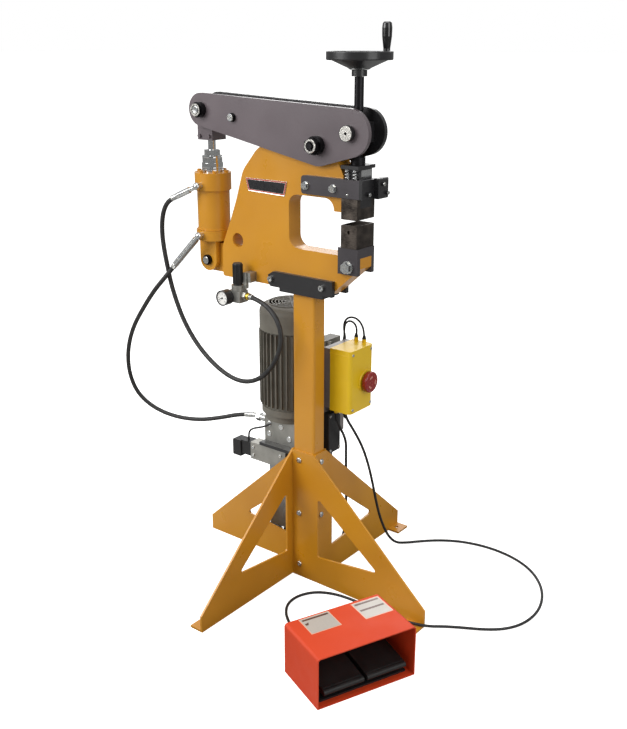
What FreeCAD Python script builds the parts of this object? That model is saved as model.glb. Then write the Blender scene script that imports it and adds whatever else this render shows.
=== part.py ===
import FreeCAD, Part
import math
import os

# Foot operated sheet metal shrinker and stretcher press on a four legged stand.
# Millimetres. Origin on the floor at the axis of the column, +X towards the jaws, +Z up,
# and -Y is the side that carries the air regulator and the frame's badge.

V = FreeCAD.Vector
X_AXIS = V(1, 0, 0)
Y_AXIS = V(0, 1, 0)
Z_AXIS = V(0, 0, 1)
ORIGIN = V(0, 0, 0)

# Stand.
COLUMN_X = 76.2
COLUMN_Y = 50.8
COLUMN_WALL = 4.8
COLUMN_TOP = 882.0
CAP_THICK = 10.0
LEG_THICK = 6.0
LEG_TOP = 412.0
LEG_REACH = 428.0
LEG_TIP = 50.0
FOOT_WIDTH = 39.0
FOOT_LENGTH = 56.0
ANCHOR_ALONG = 400.0
ANCHOR_SIDE = 58.0
ANCHOR_R = 6.5
LEG_BOLT_Z = (42.0, 213.0, 384.0)
LEG_BOLT_R = 5.0
# Each leg: half width of its column face, that face's distance out, bolt row, turn in degrees.
LEG_SIDES = [(COLUMN_X / 2, COLUMN_Y / 2, -12.0, 0), (COLUMN_Y / 2, COLUMN_X / 2, 0.0, 90),
             (COLUMN_X / 2, COLUMN_Y / 2, -12.0, 180), (COLUMN_Y / 2, COLUMN_X / 2, 0.0, 270)]
LEG_NAMES = ["leg_front", "leg_far", "leg_rear", "leg_near"]

# C-frame and head.
FRAME_Z = COLUMN_TOP + CAP_THICK
FRAME_HALF = 25.4
JAW_BOTTOM = 1007.0
JAW_TOP = 1153.0
THROAT_X = -49.0
LIP_X = 102.0
JAW_FRONT = 188.0
NOSE_FRONT = 131.0
NOSE_Z = 1121.0
ARM_HALF = 38.1
GUIDE_Z0 = 1160.0
GUIDE_Z1 = 1208.0
RAM_X0 = 135.0
RAM_X1 = 185.0
DIE_HALF = 39.0
DIE_SEAT = 1032.0
LOWER_DIE_TOP = 1092.0
DIE_GAP = 14.0
COLLAR_Z = 1234.0
COLLAR_THICK = 9.0
SPRING_X = (147.0, 171.0)
SPRING_Y = 31.8

# Through bolts of the frame: two in the clamp bars, two in the guide arms, one in the die holder.
CLAMP_BOLTS = [(-104, 914), (74, 914)]
GUIDE_BOLTS = [(18, 1182), (108, 1182)]
HOLDER_BOLT = (157, 982)
FRAME_BOLTS = CLAMP_BOLTS + GUIDE_BOLTS + [HOLDER_BOLT]

# Lever and its pivots.
PIVOT_X = 60.0
PIVOT_Z = 1288.0
FRONT_X = 158.0
FRONT_Z = 1323.0
REAR_X = -350.0
REAR_Z = 1360.0
PLATE_IN = 29.4
PLATE_THICK = 12.7
PLATE_OUT = PLATE_IN + PLATE_THICK
PIVOT_R = 16.0
PIN_R = 12.5
SPACER_X = -231.0
SPACER_Z = 1344.0
FIT = 0.05

# Handwheel and its screw.
SCREW_R = 12.0
WHEEL_R = 83.0
WHEEL_Z0 = 1496.0
WHEEL_Z1 = 1517.0
HANDLE_OUT = 66.0
HANDLE_WAY = 28.0
HANDLE_TOP = 1585.0

HANDLE_X = FRONT_X + HANDLE_OUT * math.cos(math.radians(HANDLE_WAY))
HANDLE_Y = HANDLE_OUT * math.sin(math.radians(HANDLE_WAY))

# Cylinder.
CYL_X = -351.0
CYL_BASE_Z = 933.0
CYL_R = 47.0
FLANGE_R = 52.5
ROD_R = 11.0
EAR_IN = 13.5
EAR_OUT = 30.0
# Ports: a point on the flange, how far the sleeve drops in degrees, how much it leans to -Y,
# and how far it reaches.
PORT_TOP = ((-352.0, -52.0, 1150.0), 24.6, 0.13, 77.0)
PORT_LOW = ((-352.0, -52.0, 1008.0), 48.3, 0.15, 124.0)

# Power unit.
UNIT_X = -165.0
UNIT_Y = 125.0
MOTOR_R = 98.0

# Pedal, built about its own centre, mouth towards +X, then turned and moved.
PEDAL_X = 383.0
PEDAL_Y = -321.0
PEDAL_TURN = -23.0
GUARD_L = 172.0
GUARD_W = 286.0
GUARD_H = 144.0
GUARD_WALL = 3.0

PEDAL_GLAND_Y = -60.0

# Electrical box.
BOX_BACK = 14.0
BOX_SEAM = 40.0
BOX_FRONT = 112.0
BOX_Z0 = 530.0
BOX_Z1 = 718.0
BUTTON_Y = 123.0
BUTTON_Z = 613.0
BRACKET_Z0 = 430.0
BRACKET_Z1 = 692.0
BOX_GLANDS = [(50.0, 66.0), (60.0, 92.0)]
TOP_GLANDS = [(88.0, 145.0), (58.0, 148.0)]

# Cords: diameters, then each route from its gland to its other end.
HOSE_D = 13.5
LEAD_D = 8.0
MOTOR_LEAD_D = 6.0
AIR_HOSE = [(-473, -80, 1081), (-486, -80, 1044), (-489, -80, 998), (-484, -79, 950),
            (-474, -78, 900), (-464, -77, 852), (-449, -75, 806), (-422, -76, 752),
            (-381, -77, 698), (-329, -79, 654), (-267, -81, 620), (-207, -81, 603),
            (-154, -81, 608), (-105, -80, 634), (-67, -78, 676), (-45, -75, 722),
            (-40, -72, 768), (-56, -69, 807), (-88, -65, 835), (-126, -61, 850), (-162, -60, 856)]
OIL_HOSE = [(-474, -98, 868), (-504, -106, 834), (-541, -105, 792), (-580, -100, 748),
            (-622, -92, 700), (-664, -81, 636), (-696, -65, 565), (-706, -50, 496),
            (-690, -34, 434), (-638, -14, 391), (-562, 8, 371), (-474, 32, 374),
            (-395, 54, 396), (-330, 70, 419), (-277, 75, 428)]
PEDAL_CABLE = [(60, 92, 518), (64, 95, 494), (84, 106, 458), (104, 122, 408), (118, 134, 352),
               (126, 147, 290), (130, 162, 225), (131, 184, 160), (130, 214, 104),
               (126, 250, 56), (128, 288, 20), (138, 326, 6), (162, 358, 4.2), (192, 390, 4.4),
               (230, 422, 4.2), (278, 448, 4.4), (336, 465, 4.2), (404, 468, 4.4),
               (474, 454, 4.2), (538, 420, 4.4), (592, 366, 4.2), (630, 298, 4.4),
               (648, 224, 4.2), (642, 150, 4.4), (612, 94, 4.2), (566, 56, 4.4), (514, 28, 4.2),
               (474, 2, 5), (446, -28, 9), (416, -48, 14), (380, -56, 13.5), (340, -56, 8),
               (296, -50, 4.4), (240, -46, 4.2), (184, -46, 4.4), (130, -54, 4.2),
               (84, -80, 4.4), (58, -124, 4.2), (58, -172, 4.4), (82, -214, 4.2),
               (120, -246, 4.4), (162, -274, 8), (202, -298, 17), (240, -322, 27)]
MAINS_LEAD = [(50, 66, 518), (51, 67, 496), (54, 78, 468), (54, 98, 438), (47, 120, 404),
              (33, 140, 362), (22, 156, 312), (16, 166, 256), (13, 172, 198), (12, 174, 140),
              (10, 172, 86), (2, 164, 40), (-24, 148, 10), (-70, 128, 4.2), (-126, 112, 4.4),
              (-180, 84, 4.2), (-224, 65, 4.4), (-262, 59, 4.2)]
MOTOR_LEAD = [(-29, 171, 680), (-12, 171, 681), (1, 170.5, 691), (4, 169.5, 712),
              (-1, 168, 736), (1, 166, 758), (14, 162, 775), (34, 158, 783), (56, 153, 783),
              (74, 149, 773), (86, 146.5, 754), (88, 145, 730)]
CONTROL_LEAD = [(-29, 148, 690), (-15, 148, 690), (-2, 149, 694), (8, 150, 704), (13, 151, 720),
                (12.4, 151.5, 738), (14, 152, 756), (20, 151.5, 766), (30, 151, 772),
                (42, 150.5, 772), (52, 150, 766), (57.8, 149.5, 756), (58.8, 148.7, 743), (58, 148, 730)]
VALVE_LEAD = [(-290, 62, 342), (-289, 60, 362), (-278, 54, 382), (-256, 50, 396), (-232, 52, 404),
              (-212, 58, 412), (-200, 65, 420)]

# The stored length of the mains lead lies in one flat coil, and its plug beside it.
COIL_X = -262.0
COIL_Y = 111.0
COIL_MID = 44.0


def box(x0, x1, y0, y1, z0, z1):
    return Part.makeBox(x1 - x0, y1 - y0, z1 - z0, V(x0, y0, z0))


def rod(start, axis, radius, length):
    return Part.makeCylinder(radius, length, start, axis)


def pin_y(x, z, radius, y0, y1):
    return rod(V(x, y0, z), Y_AXIS, radius, y1 - y0)


def pin_z(x, y, radius, z0, z1):
    return rod(V(x, y, z0), Z_AXIS, radius, z1 - z0)


def ring_z(x, y, outer, inner, z0, z1):
    return pin_z(x, y, outer, z0, z1).cut(pin_z(x, y, inner, z0 - 1, z1 + 1))


def hex_prism(centre, axis, flats, length):
    """A hexagon across flats, grown from centre along axis."""
    radius = flats / math.sqrt(3)
    corners = [V(radius * math.cos(a), radius * math.sin(a), 0)
               for a in [math.radians(30 + 60 * k) for k in range(7)]]
    prism = Part.Face(Part.makePolygon(corners)).extrude(V(0, 0, length))
    prism.Placement = FreeCAD.Placement(centre, FreeCAD.Rotation(Z_AXIS, axis))
    return prism


def profile_y(points, y0, y1):
    """A plate whose outline is given in X and Z, from y0 to y1."""
    corners = [V(x, y0, z) for x, z in points]
    corners.append(corners[0])
    return Part.Face(Part.makePolygon(corners)).extrude(V(0, y1 - y0, 0))


def round_edges(shape, radius, along, keep):
    """Rounds the straight edges that run along one axis where keep(middle) is true."""
    chosen = []
    for edge in shape.Edges:
        if len(edge.Vertexes) != 2:
            continue
        way = edge.Vertexes[1].Point.sub(edge.Vertexes[0].Point)
        if way.Length > 0.1 and abs(way.normalize().dot(along)) > 0.999:
            middle = edge.Vertexes[0].Point.add(edge.Vertexes[1].Point).multiply(0.5)
            if keep(middle):
                chosen.append(edge)
    return shape.makeFillet(radius, chosen)


def fuse(first, *others):
    for other in others:
        first = first.fuse(other)
    return first.removeSplitter()


def cut(first, *others):
    for other in others:
        first = first.cut(other)
    return first


def turned(shape, degrees):
    copy = shape.copy()
    copy.rotate(ORIGIN, Z_AXIS, degrees)
    return copy


def save(name, *pieces):
    solids = []
    for piece in pieces:
        solids.extend(piece.Solids)
    shape = solids[0] if len(solids) == 1 else Part.makeCompound(solids)
    shape.exportStep("parts/" + name + ".step")
    bad = [s for s in solids if not s.isValid() or s.Volume <= 0]
    if bad:
        print("CHECK", name, len(bad), "bad solids")


def hull_plate(circles, y0, y1):
    """A plate around three circles (x, z, r) listed anticlockwise in the X, Z plane."""
    body = None
    for k, (x1, z1, r1) in enumerate(circles):
        x2, z2, r2 = circles[(k + 1) % len(circles)]
        gap = math.hypot(x2 - x1, z2 - z1)
        lean = math.acos((r1 - r2) / gap)
        way = math.atan2(z2 - z1, x2 - x1)
        points = []
        for side in (way - lean, way + lean):
            points.append(((x1 + r1 * math.cos(side), z1 + r1 * math.sin(side)),
                           (x2 + r2 * math.cos(side), z2 + r2 * math.sin(side))))
        bar = profile_y([points[0][0], points[0][1], points[1][1], points[1][0]], y0, y1)
        disc = pin_y(x1, z1, r1, y0, y1)
        body = bar if body is None else body.fuse(bar)
        body = body.fuse(disc)
    middle = profile_y([(x, z) for x, z, r in circles], y0, y1)
    return body.fuse(middle).removeSplitter()


def cord_tube(name, route, diameter):
    """A round cord along straight runs joined by tangent arcs."""
    points = [V(*p) for p in route]
    edges = []
    radii = []
    start = points[0]
    for before, here, after in zip(points, points[1:], points[2:]):
        back = before.sub(here)
        ahead = after.sub(here)
        shorter = min(back.Length, ahead.Length)
        turn = math.pi - back.getAngle(ahead)
        reach = 0.45 * shorter
        radii.append(reach / math.tan(turn / 2))
        back.normalize()
        ahead.normalize()
        begin = here.add(back * reach)
        end = here.add(ahead * reach)
        inward = back.add(ahead).normalize()
        deep = radii[-1] / math.cos(turn / 2) - radii[-1]
        edges.append(Part.LineSegment(start, begin).toShape())
        edges.append(Part.Arc(begin, here.add(inward * deep), end).toShape())
        start = end
    edges.append(Part.LineSegment(start, points[-1]).toShape())
    path = Part.Wire(edges)
    first = points[1].sub(points[0])
    section = Part.Wire([Part.makeCircle(diameter / 2, points[0], first)])
    tube = path.makePipeShell([section], True, True)
    wanted = math.pi * diameter ** 2 / 4 * path.Length
    print(f"{name}: length {path.Length:.0f}, least radius {min(radii):.0f}"
          f" ({min(radii) / diameter:.1f} d), volume ratio {tube.Volume / wanted:.3f}")
    save(name, tube)


# Stand -------------------------------------------------------------------------------

def column():
    outer = box(-COLUMN_X / 2, COLUMN_X / 2, -COLUMN_Y / 2, COLUMN_Y / 2, 0, COLUMN_TOP)
    outer = round_edges(outer, 7, Z_AXIS, lambda p: True)
    inner = box(-COLUMN_X / 2 + COLUMN_WALL, COLUMN_X / 2 - COLUMN_WALL,
                -COLUMN_Y / 2 + COLUMN_WALL, COLUMN_Y / 2 - COLUMN_WALL, -1, COLUMN_TOP + 1)
    inner = round_edges(inner, 3, Z_AXIS, lambda p: True)
    tube = outer.cut(inner)
    for flat, face, side, degrees in LEG_SIDES:
        for z in LEG_BOLT_Z:
            hole = rod(V(side, -face - 1, z), Y_AXIS, LEG_BOLT_R, COLUMN_WALL + 2)
            tube = tube.cut(turned(hole, degrees))
    save("column_tube", tube)
    cap = box(-75, 75, -ARM_HALF, ARM_HALF, COLUMN_TOP, FRAME_Z)
    save("column_cap_plate", cap)


def leg(half, face):
    """One flat leg on the -Y face of the column, reaching to +X, foot bent to -Y."""
    outline = [(-half, 0), (LEG_REACH, 0), (LEG_REACH, LEG_TIP), (half, LEG_TOP),
               (-half, LEG_TOP)]
    plate = profile_y(outline, -face - LEG_THICK, -face)
    window = profile_y([(56, 86), (272, 110), (56, 282)], -face - LEG_THICK - 1, -face + 1)
    window = round_edges(window, 7, Y_AXIS, lambda p: True)
    plate = plate.cut(window)
    foot = box(LEG_REACH - FOOT_LENGTH, LEG_REACH,
               -face - LEG_THICK - FOOT_WIDTH, -face - LEG_THICK, 0, LEG_THICK)
    foot = foot.cut(pin_z(ANCHOR_ALONG, -ANCHOR_SIDE, ANCHOR_R, -1, LEG_THICK + 1))
    for z in LEG_BOLT_Z:
        plate = plate.cut(rod(V(bolt_side(half), -face - LEG_THICK - 1, z), Y_AXIS,
                              LEG_BOLT_R, LEG_THICK + 2))
    return fuse(plate, foot)


def bolt_side(half):
    """How far the row of leg bolts stands off the middle of the column's face."""
    return -12.0 if half > 30 else 0.0


def leg_bolt(face, side, z):
    """A button head bolt from -Y, with its nut inside the tube."""
    head = rod(V(side, -face - LEG_THICK - 5, z), Y_AXIS, 9, 5)
    head = head.makeFillet(3.5, [e for e in head.Edges if e.BoundBox.YMax < -face - LEG_THICK - 4])
    head = head.cut(hex_prism(V(side, -face - LEG_THICK - 5, z), Y_AXIS, 5, 2.5))
    length = LEG_THICK + COLUMN_WALL + 6
    shank = rod(V(side, -face - LEG_THICK, z), Y_AXIS, LEG_BOLT_R, length)
    nut = hex_prism(V(side, -face + COLUMN_WALL, z), Y_AXIS, 15, 5)
    return fuse(head, shank, nut)


def stand():
    bolts = []
    for name, (half, face, side, degrees) in zip(LEG_NAMES, LEG_SIDES):
        save(name, turned(leg(half, face), degrees))
        for z in LEG_BOLT_Z:
            bolts.append(turned(leg_bolt(face, side, z), degrees))
    column()
    save("leg_bolts", *bolts)


# Frame -------------------------------------------------------------------------------

def c_frame():
    """The 2 inch plate that carries the head: throat, pivot boss, rear lug."""
    outline = [(-297, FRAME_Z), (88, FRAME_Z), (101, 902), (JAW_FRONT, 979),
               (JAW_FRONT, JAW_BOTTOM), (THROAT_X, JAW_BOTTOM), (THROAT_X, JAW_TOP),
               (LIP_X, JAW_TOP), (LIP_X, NOSE_Z), (NOSE_FRONT, NOSE_Z), (NOSE_FRONT, 1215),
               (103, 1268), (88, 1330), (30, 1338), (-90, 1312), (-163, 1260),
               (-212, 1203), (-240, 1117), (-262, 1061), (-297, 980)]
    plate = profile_y(outline, -FRAME_HALF, FRAME_HALF)
    rounds = [((THROAT_X, JAW_BOTTOM), 32), ((THROAT_X, JAW_TOP), 28), ((LIP_X, JAW_TOP), 30),
              ((LIP_X, NOSE_Z), 3), ((-163, 1260), 60), ((-212, 1203), 70), ((-297, 980), 50),
              ((-297, FRAME_Z), 6), ((88, 1330), 26), ((-90, 1312), 60), ((103, 1268), 20)]
    for (x, z), radius in rounds:
        plate = round_edges(plate, radius, Y_AXIS,
                            lambda p: math.hypot(p.x - x, p.z - z) < 1)
    lug = profile_y([(-297, 899), (-297, 984), (-334, 984), (-372, 958), (-372, 914),
                     (-352, 899)], -EAR_IN + 0.5, EAR_IN - 0.5)
    lug = round_edges(lug, 14, Y_AXIS, lambda p: p.x < -350)
    lug = round_edges(lug, 18, Y_AXIS, lambda p: -340 < p.x < -330)
    plate = fuse(plate, lug)
    holes = [pin_y(-237, 1004, 20, -30, 30), pin_y(CYL_X, CYL_BASE_Z, PIN_R, -30, 30),
             pin_y(PIVOT_X, PIVOT_Z, PIVOT_R, -30, 30)]
    for x, z in FRAME_BOLTS:
        holes.append(pin_y(x, z, 5, -30, 30))
    save("c_frame", cut(plate, *holes))


def clamp_bars():
    bars = []
    for side in (-1, 1):
        bar = profile_y([(-115, FRAME_Z + 8), (-107, FRAME_Z), (107, FRAME_Z), (107, 935),
                         (-98, 935), (-115, 924)],
                        min(side * FRAME_HALF, side * ARM_HALF), max(side * FRAME_HALF, side * ARM_HALF))
        for x, z in CLAMP_BOLTS:
            bar = bar.cut(pin_y(x, z, 5, -50, 50))
        bars.append(bar)
    save("clamp_bars", *bars)


def frame_screws():
    screws = []
    for x, z in CLAMP_BOLTS:
        shank = pin_y(x, z, 5, -ARM_HALF, ARM_HALF)
        heads = [pin_y(x, z, 8, -ARM_HALF - 8, -ARM_HALF), pin_y(x, z, 8, ARM_HALF, ARM_HALF + 8)]
        socket = hex_prism(V(x, -ARM_HALF - 8, z), Y_AXIS, 8, 4)
        screws.append(cut(fuse(shank, *heads), socket))
    for x, z in GUIDE_BOLTS:
        washers = [pin_y(x, z, 11, -ARM_HALF - 2, -ARM_HALF), pin_y(x, z, 11, ARM_HALF, ARM_HALF + 2)]
        heads = [hex_prism(V(x, -ARM_HALF - 9, z), Y_AXIS, 17, 7),
                 hex_prism(V(x, ARM_HALF + 2, z), Y_AXIS, 17, 8)]
        screws.append(fuse(pin_y(x, z, 5, -ARM_HALF - 3, ARM_HALF + 12), *washers, *heads))
    x, z = HOLDER_BOLT
    heads = [pin_y(x, z, 17, -ARM_HALF - 2.5, -ARM_HALF), pin_y(x, z, 17, ARM_HALF, ARM_HALF + 2.5),
             hex_prism(V(x, -ARM_HALF - 14, z), Y_AXIS, 26, 11.5),
             hex_prism(V(x, ARM_HALF + 2.5, z), Y_AXIS, 26, 11.5)]
    screws.append(fuse(pin_y(x, z, 5, -ARM_HALF - 3, ARM_HALF + 3), *heads))
    save("frame_screws", *screws)


def badge():
    plate = profile_y([(-203, 1184), (-194, 1148), (-62, 1144), (-52, 1184)],
                      -FRAME_HALF - 2, -FRAME_HALF)
    save("badge_plate", round_edges(plate, 5, Y_AXIS, lambda p: True))


def lower_tools():
    """A saddle over the lower jaw, and the lower die that stands on it."""
    top = box(125, RAM_X1, -ARM_HALF, ARM_HALF, JAW_BOTTOM, DIE_SEAT)
    cheeks = [box(125, JAW_FRONT, -ARM_HALF, -FRAME_HALF, 962, JAW_BOTTOM),
              box(125, JAW_FRONT, FRAME_HALF, ARM_HALF, 962, JAW_BOTTOM)]
    front = box(RAM_X1, JAW_FRONT, -ARM_HALF, ARM_HALF, JAW_BOTTOM, DIE_SEAT)
    holder = fuse(top, front, *cheeks)
    holder = cut(holder, pin_y(HOLDER_BOLT[0], HOLDER_BOLT[1], 5, -60, 60))
    save("lower_die_holder", holder)
    die = box(RAM_X0, RAM_X1, -DIE_HALF, DIE_HALF, DIE_SEAT, LOWER_DIE_TOP)
    die = die.makeChamfer(1.2, [e for e in die.Edges if e.BoundBox.ZMin > LOWER_DIE_TOP - 1])
    die = cut(die, rod(V(160, -DIE_HALF - 1, 1074), Y_AXIS, 5, 6))
    save("lower_die", die)


def guide():
    """Arms bolted to the nose, the front plate that closes them, and its gib block."""
    arms = []
    for side in (-1, 1):
        y0 = min(side * FRAME_HALF, side * ARM_HALF)
        y1 = max(side * FRAME_HALF, side * ARM_HALF)
        arm = profile_y([(3, GUIDE_Z0), (189, GUIDE_Z0), (189, GUIDE_Z1), (3, GUIDE_Z1)], y0, y1)
        arm = round_edges(arm, 9, Y_AXIS, lambda p: p.x < 10)
        for x, z in GUIDE_BOLTS:
            arm = arm.cut(pin_y(x, z, 5, -60, 60))
        arms.append(arm.cut(rod(V(152, side * ARM_HALF, 1169), Y_AXIS * -side, 4, 5)))
    save("guide_arms", *arms)
    front = box(189, 199, -ARM_HALF, ARM_HALF, GUIDE_Z0, GUIDE_Z1)
    gib = box(RAM_X1 + 0.5, 189, -24, 24, GUIDE_Z0, GUIDE_Z1)
    block = box(199, 216, 14, 58, GUIDE_Z0 - 2, GUIDE_Z1 + 2)
    block = block.makeChamfer(3, [e for e in block.Edges if e.BoundBox.XMin > 215])
    screws = [rod(V(199, -14, 1172), X_AXIS, 6, 5), rod(V(216, 28, 1196), X_AXIS, 5, 5),
              rod(V(216, 46, 1172), X_AXIS, 5, 5)]
    save("guide_front_block", fuse(front, gib, block, *screws))


def frame_pins():
    """The lever's fulcrum pin with its collars and nuts, and the cylinder's base pin."""
    washers = [ring_y(PIVOT_X, PIVOT_Z, 30, PIVOT_R, FRAME_HALF, PLATE_IN - 0.3),
               ring_y(PIVOT_X, PIVOT_Z, 30, PIVOT_R, -PLATE_IN + 0.3, -FRAME_HALF)]
    shaft = pin_y(PIVOT_X, PIVOT_Z, PIVOT_R, -PLATE_OUT - 18, PLATE_OUT + 18)
    collars = [pin_y(PIVOT_X, PIVOT_Z, 24, -PLATE_OUT - 16, -PLATE_OUT - 0.3),
               pin_y(PIVOT_X, PIVOT_Z, 24, PLATE_OUT + 0.3, PLATE_OUT + 16)]
    nuts = [hex_prism(V(PIVOT_X, -PLATE_OUT - 32, PIVOT_Z), Y_AXIS, 36, 16),
            hex_prism(V(PIVOT_X, PLATE_OUT + 16, PIVOT_Z), Y_AXIS, 36, 16)]
    pivot = cut(fuse(shaft, *washers, *collars, *nuts),
                pin_y(PIVOT_X, PIVOT_Z, 10, -PLATE_OUT - 33, -PLATE_OUT - 22))
    base = pin_y(CYL_X, CYL_BASE_Z, PIN_R, -EAR_OUT - 12, EAR_OUT + 12)
    heads = [pin_y(CYL_X, CYL_BASE_Z, 15, -EAR_OUT - 8, -EAR_OUT - 0.4),
             pin_y(CYL_X, CYL_BASE_Z, 15, EAR_OUT + 0.4, EAR_OUT + 8)]
    save("frame_pins", pivot, fuse(base, *heads))


def ring_y(x, z, outer, inner, y0, y1):
    return pin_y(x, z, outer, y0, y1).cut(pin_y(x, z, inner, y0 - 1, y1 + 1))


# Lever -------------------------------------------------------------------------------

def lever():
    circles = [(REAR_X, REAR_Z, 45), (PIVOT_X, PIVOT_Z, 53), (FRONT_X, FRONT_Z, 60)]
    for name, y0 in (("lever_plate_near", -PLATE_OUT), ("lever_plate_far", PLATE_IN)):
        plate = hull_plate(circles, y0, y0 + PLATE_THICK)
        plate = cut(plate, pin_y(PIVOT_X, PIVOT_Z, PIVOT_R + FIT, y0 - 1, y0 + 20),
                    pin_y(FRONT_X, FRONT_Z, PIN_R + FIT, y0 - 1, y0 + 20),
                    pin_y(REAR_X, REAR_Z, PIN_R, y0 - 1, y0 + 20),
                    pin_y(SPACER_X, SPACER_Z, 8, y0 - 1, y0 + 20))
        save(name, plate)
    spacer = fuse(pin_y(SPACER_X, SPACER_Z, 8, -PLATE_OUT - 9, PLATE_OUT + 9),
                  pin_y(SPACER_X, SPACER_Z, 14, -PLATE_IN, PLATE_IN),
                  pin_y(SPACER_X, SPACER_Z, 12, -PLATE_OUT - 2, -PLATE_OUT),
                  pin_y(SPACER_X, SPACER_Z, 12, PLATE_OUT, PLATE_OUT + 2),
                  hex_prism(V(SPACER_X, -PLATE_OUT - 10, SPACER_Z), Y_AXIS, 20, 8),
                  hex_prism(V(SPACER_X, PLATE_OUT + 2, SPACER_Z), Y_AXIS, 20, 8))
    pin = pin_y(REAR_X, REAR_Z, PIN_R, -PLATE_OUT - 20, PLATE_OUT + 20)
    ends = [pin_y(REAR_X, REAR_Z, 21, -PLATE_OUT - 16, -PLATE_OUT),
            pin_y(REAR_X, REAR_Z, 21, PLATE_OUT, PLATE_OUT + 16),
            pin_y(REAR_X, REAR_Z, 17, -PLATE_OUT - 22, -PLATE_OUT - 16),
            pin_y(REAR_X, REAR_Z, 17, PLATE_OUT + 16, PLATE_OUT + 22)]
    save("lever_pins", spacer, fuse(pin, *ends))


def trunnion():
    """The nut block between the lever's front ends; its stub shafts turn in the plates."""
    block = box(FRONT_X - 28, FRONT_X + 28, -PLATE_IN + 0.4, PLATE_IN - 0.4, FRONT_Z - 26, FRONT_Z + 26)
    block = block.makeChamfer(3, [e for e in block.Edges if e.BoundBox.YLength > 50])
    stubs = []
    for side in (-1, 1):
        way = Y_AXIS * side
        stubs.append(rod(V(FRONT_X, side * (PLATE_IN - 1), FRONT_Z), way, PIN_R, PLATE_THICK + 12))
        stubs.append(rod(V(FRONT_X, side * (PLATE_OUT + 0.4), FRONT_Z), way, 20, 14))
    nut = fuse(block, *stubs)
    dimple = [rod(V(FRONT_X, side * (PLATE_OUT + 16), FRONT_Z), Y_AXIS * -side, 3.5, 6) for side in (-1, 1)]
    save("trunnion_nut", cut(nut, pin_z(FRONT_X, 0, SCREW_R + FIT, FRONT_Z - 30, FRONT_Z + 30), *dimple))


def spindle():
    foot_top = 1262.0
    foot = fuse(pin_z(FRONT_X, 0, 19, COLLAR_Z + COLLAR_THICK + 0.4, foot_top),
                pin_z(FRONT_X, 0, 6, foot_top, foot_top + 12))
    save("spindle_foot", foot)
    screw = pin_z(FRONT_X, 0, SCREW_R, foot_top + 0.3, 1458)
    screw = cut(screw, pin_z(FRONT_X, 0, 6 + FIT, foot_top - 1, foot_top + 12.3))
    save("spindle_screw", screw)
    handwheel()


def handwheel():
    """A dished handwheel with a hub, a rim and a pin for its crank handle."""
    def at(radius, z):
        return V(FRONT_X + radius, 0, z)
    hub_r = 19.5
    outline = [at(0, 1458), at(hub_r, 1458), at(hub_r, 1473), at(WHEEL_R - 12, WHEEL_Z0),
               at(WHEEL_R, WHEEL_Z0), at(WHEEL_R, WHEEL_Z1), at(WHEEL_R - 12, WHEEL_Z1),
               at(WHEEL_R - 14, WHEEL_Z0 + 6), at(hub_r + 4, 1484), at(hub_r, 1492),
               at(0, 1492), at(0, 1458)]
    face = Part.Face(Part.makePolygon(outline))
    wheel = face.revolve(V(FRONT_X, 0, 0), Z_AXIS, 360)
    wheel = wheel.makeFillet(3, [e for e in wheel.Edges if abs(e.BoundBox.XLength - 2 * WHEEL_R) < 0.1])
    boss = pin_z(HANDLE_X, HANDLE_Y, 11, WHEEL_Z0 + 2, WHEEL_Z1)
    stud = pin_z(HANDLE_X, HANDLE_Y, 5, WHEEL_Z1, HANDLE_TOP - 12)
    save("handwheel", fuse(wheel, boss, stud))
    outline = [V(5 + FIT, 0, WHEEL_Z1 + 0.5), V(8.5, 0, WHEEL_Z1 + 0.5), V(8.5, 0, WHEEL_Z1 + 6),
               V(12, 0, WHEEL_Z1 + 34), V(12.5, 0, HANDLE_TOP - 14), V(11, 0, HANDLE_TOP - 3),
               V(8, 0, HANDLE_TOP), V(0, 0, HANDLE_TOP), V(0, 0, HANDLE_TOP - 11.5),
               V(5 + FIT, 0, HANDLE_TOP - 11.5)]
    outline.append(outline[0])
    grip = Part.Face(Part.makePolygon(outline)).revolve(ORIGIN, Z_AXIS, 360)
    grip.translate(V(HANDLE_X, HANDLE_Y, 0))
    save("handwheel_handle", grip)


# Ram ---------------------------------------------------------------------------------

def ram():
    post = box(RAM_X0, RAM_X1, -24.9, 24.9, LOWER_DIE_TOP + DIE_GAP + 30, COLLAR_Z)
    collar = box(132, 186, -ARM_HALF, ARM_HALF, COLLAR_Z, COLLAR_Z + COLLAR_THICK)
    save("ram_block", fuse(post, collar))
    z0 = LOWER_DIE_TOP + DIE_GAP
    die = box(RAM_X0, RAM_X1, -DIE_HALF, DIE_HALF, z0, GUIDE_Z0 - 0.6)
    die = die.makeChamfer(1.2, [e for e in die.Edges if e.BoundBox.ZMax < z0 + 1])
    die = cut(die, box(RAM_X0, RAM_X1, -24.9, 24.9, z0 + 30, GUIDE_Z0))
    save("upper_die", die)
    springs = []
    for x in SPRING_X:
        for y in (-SPRING_Y, SPRING_Y):
            springs.append(ring_z(x, y, 6.4, 4, GUIDE_Z1, COLLAR_Z))
    save("return_springs", *springs)


# Cylinder ----------------------------------------------------------------------------

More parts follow.
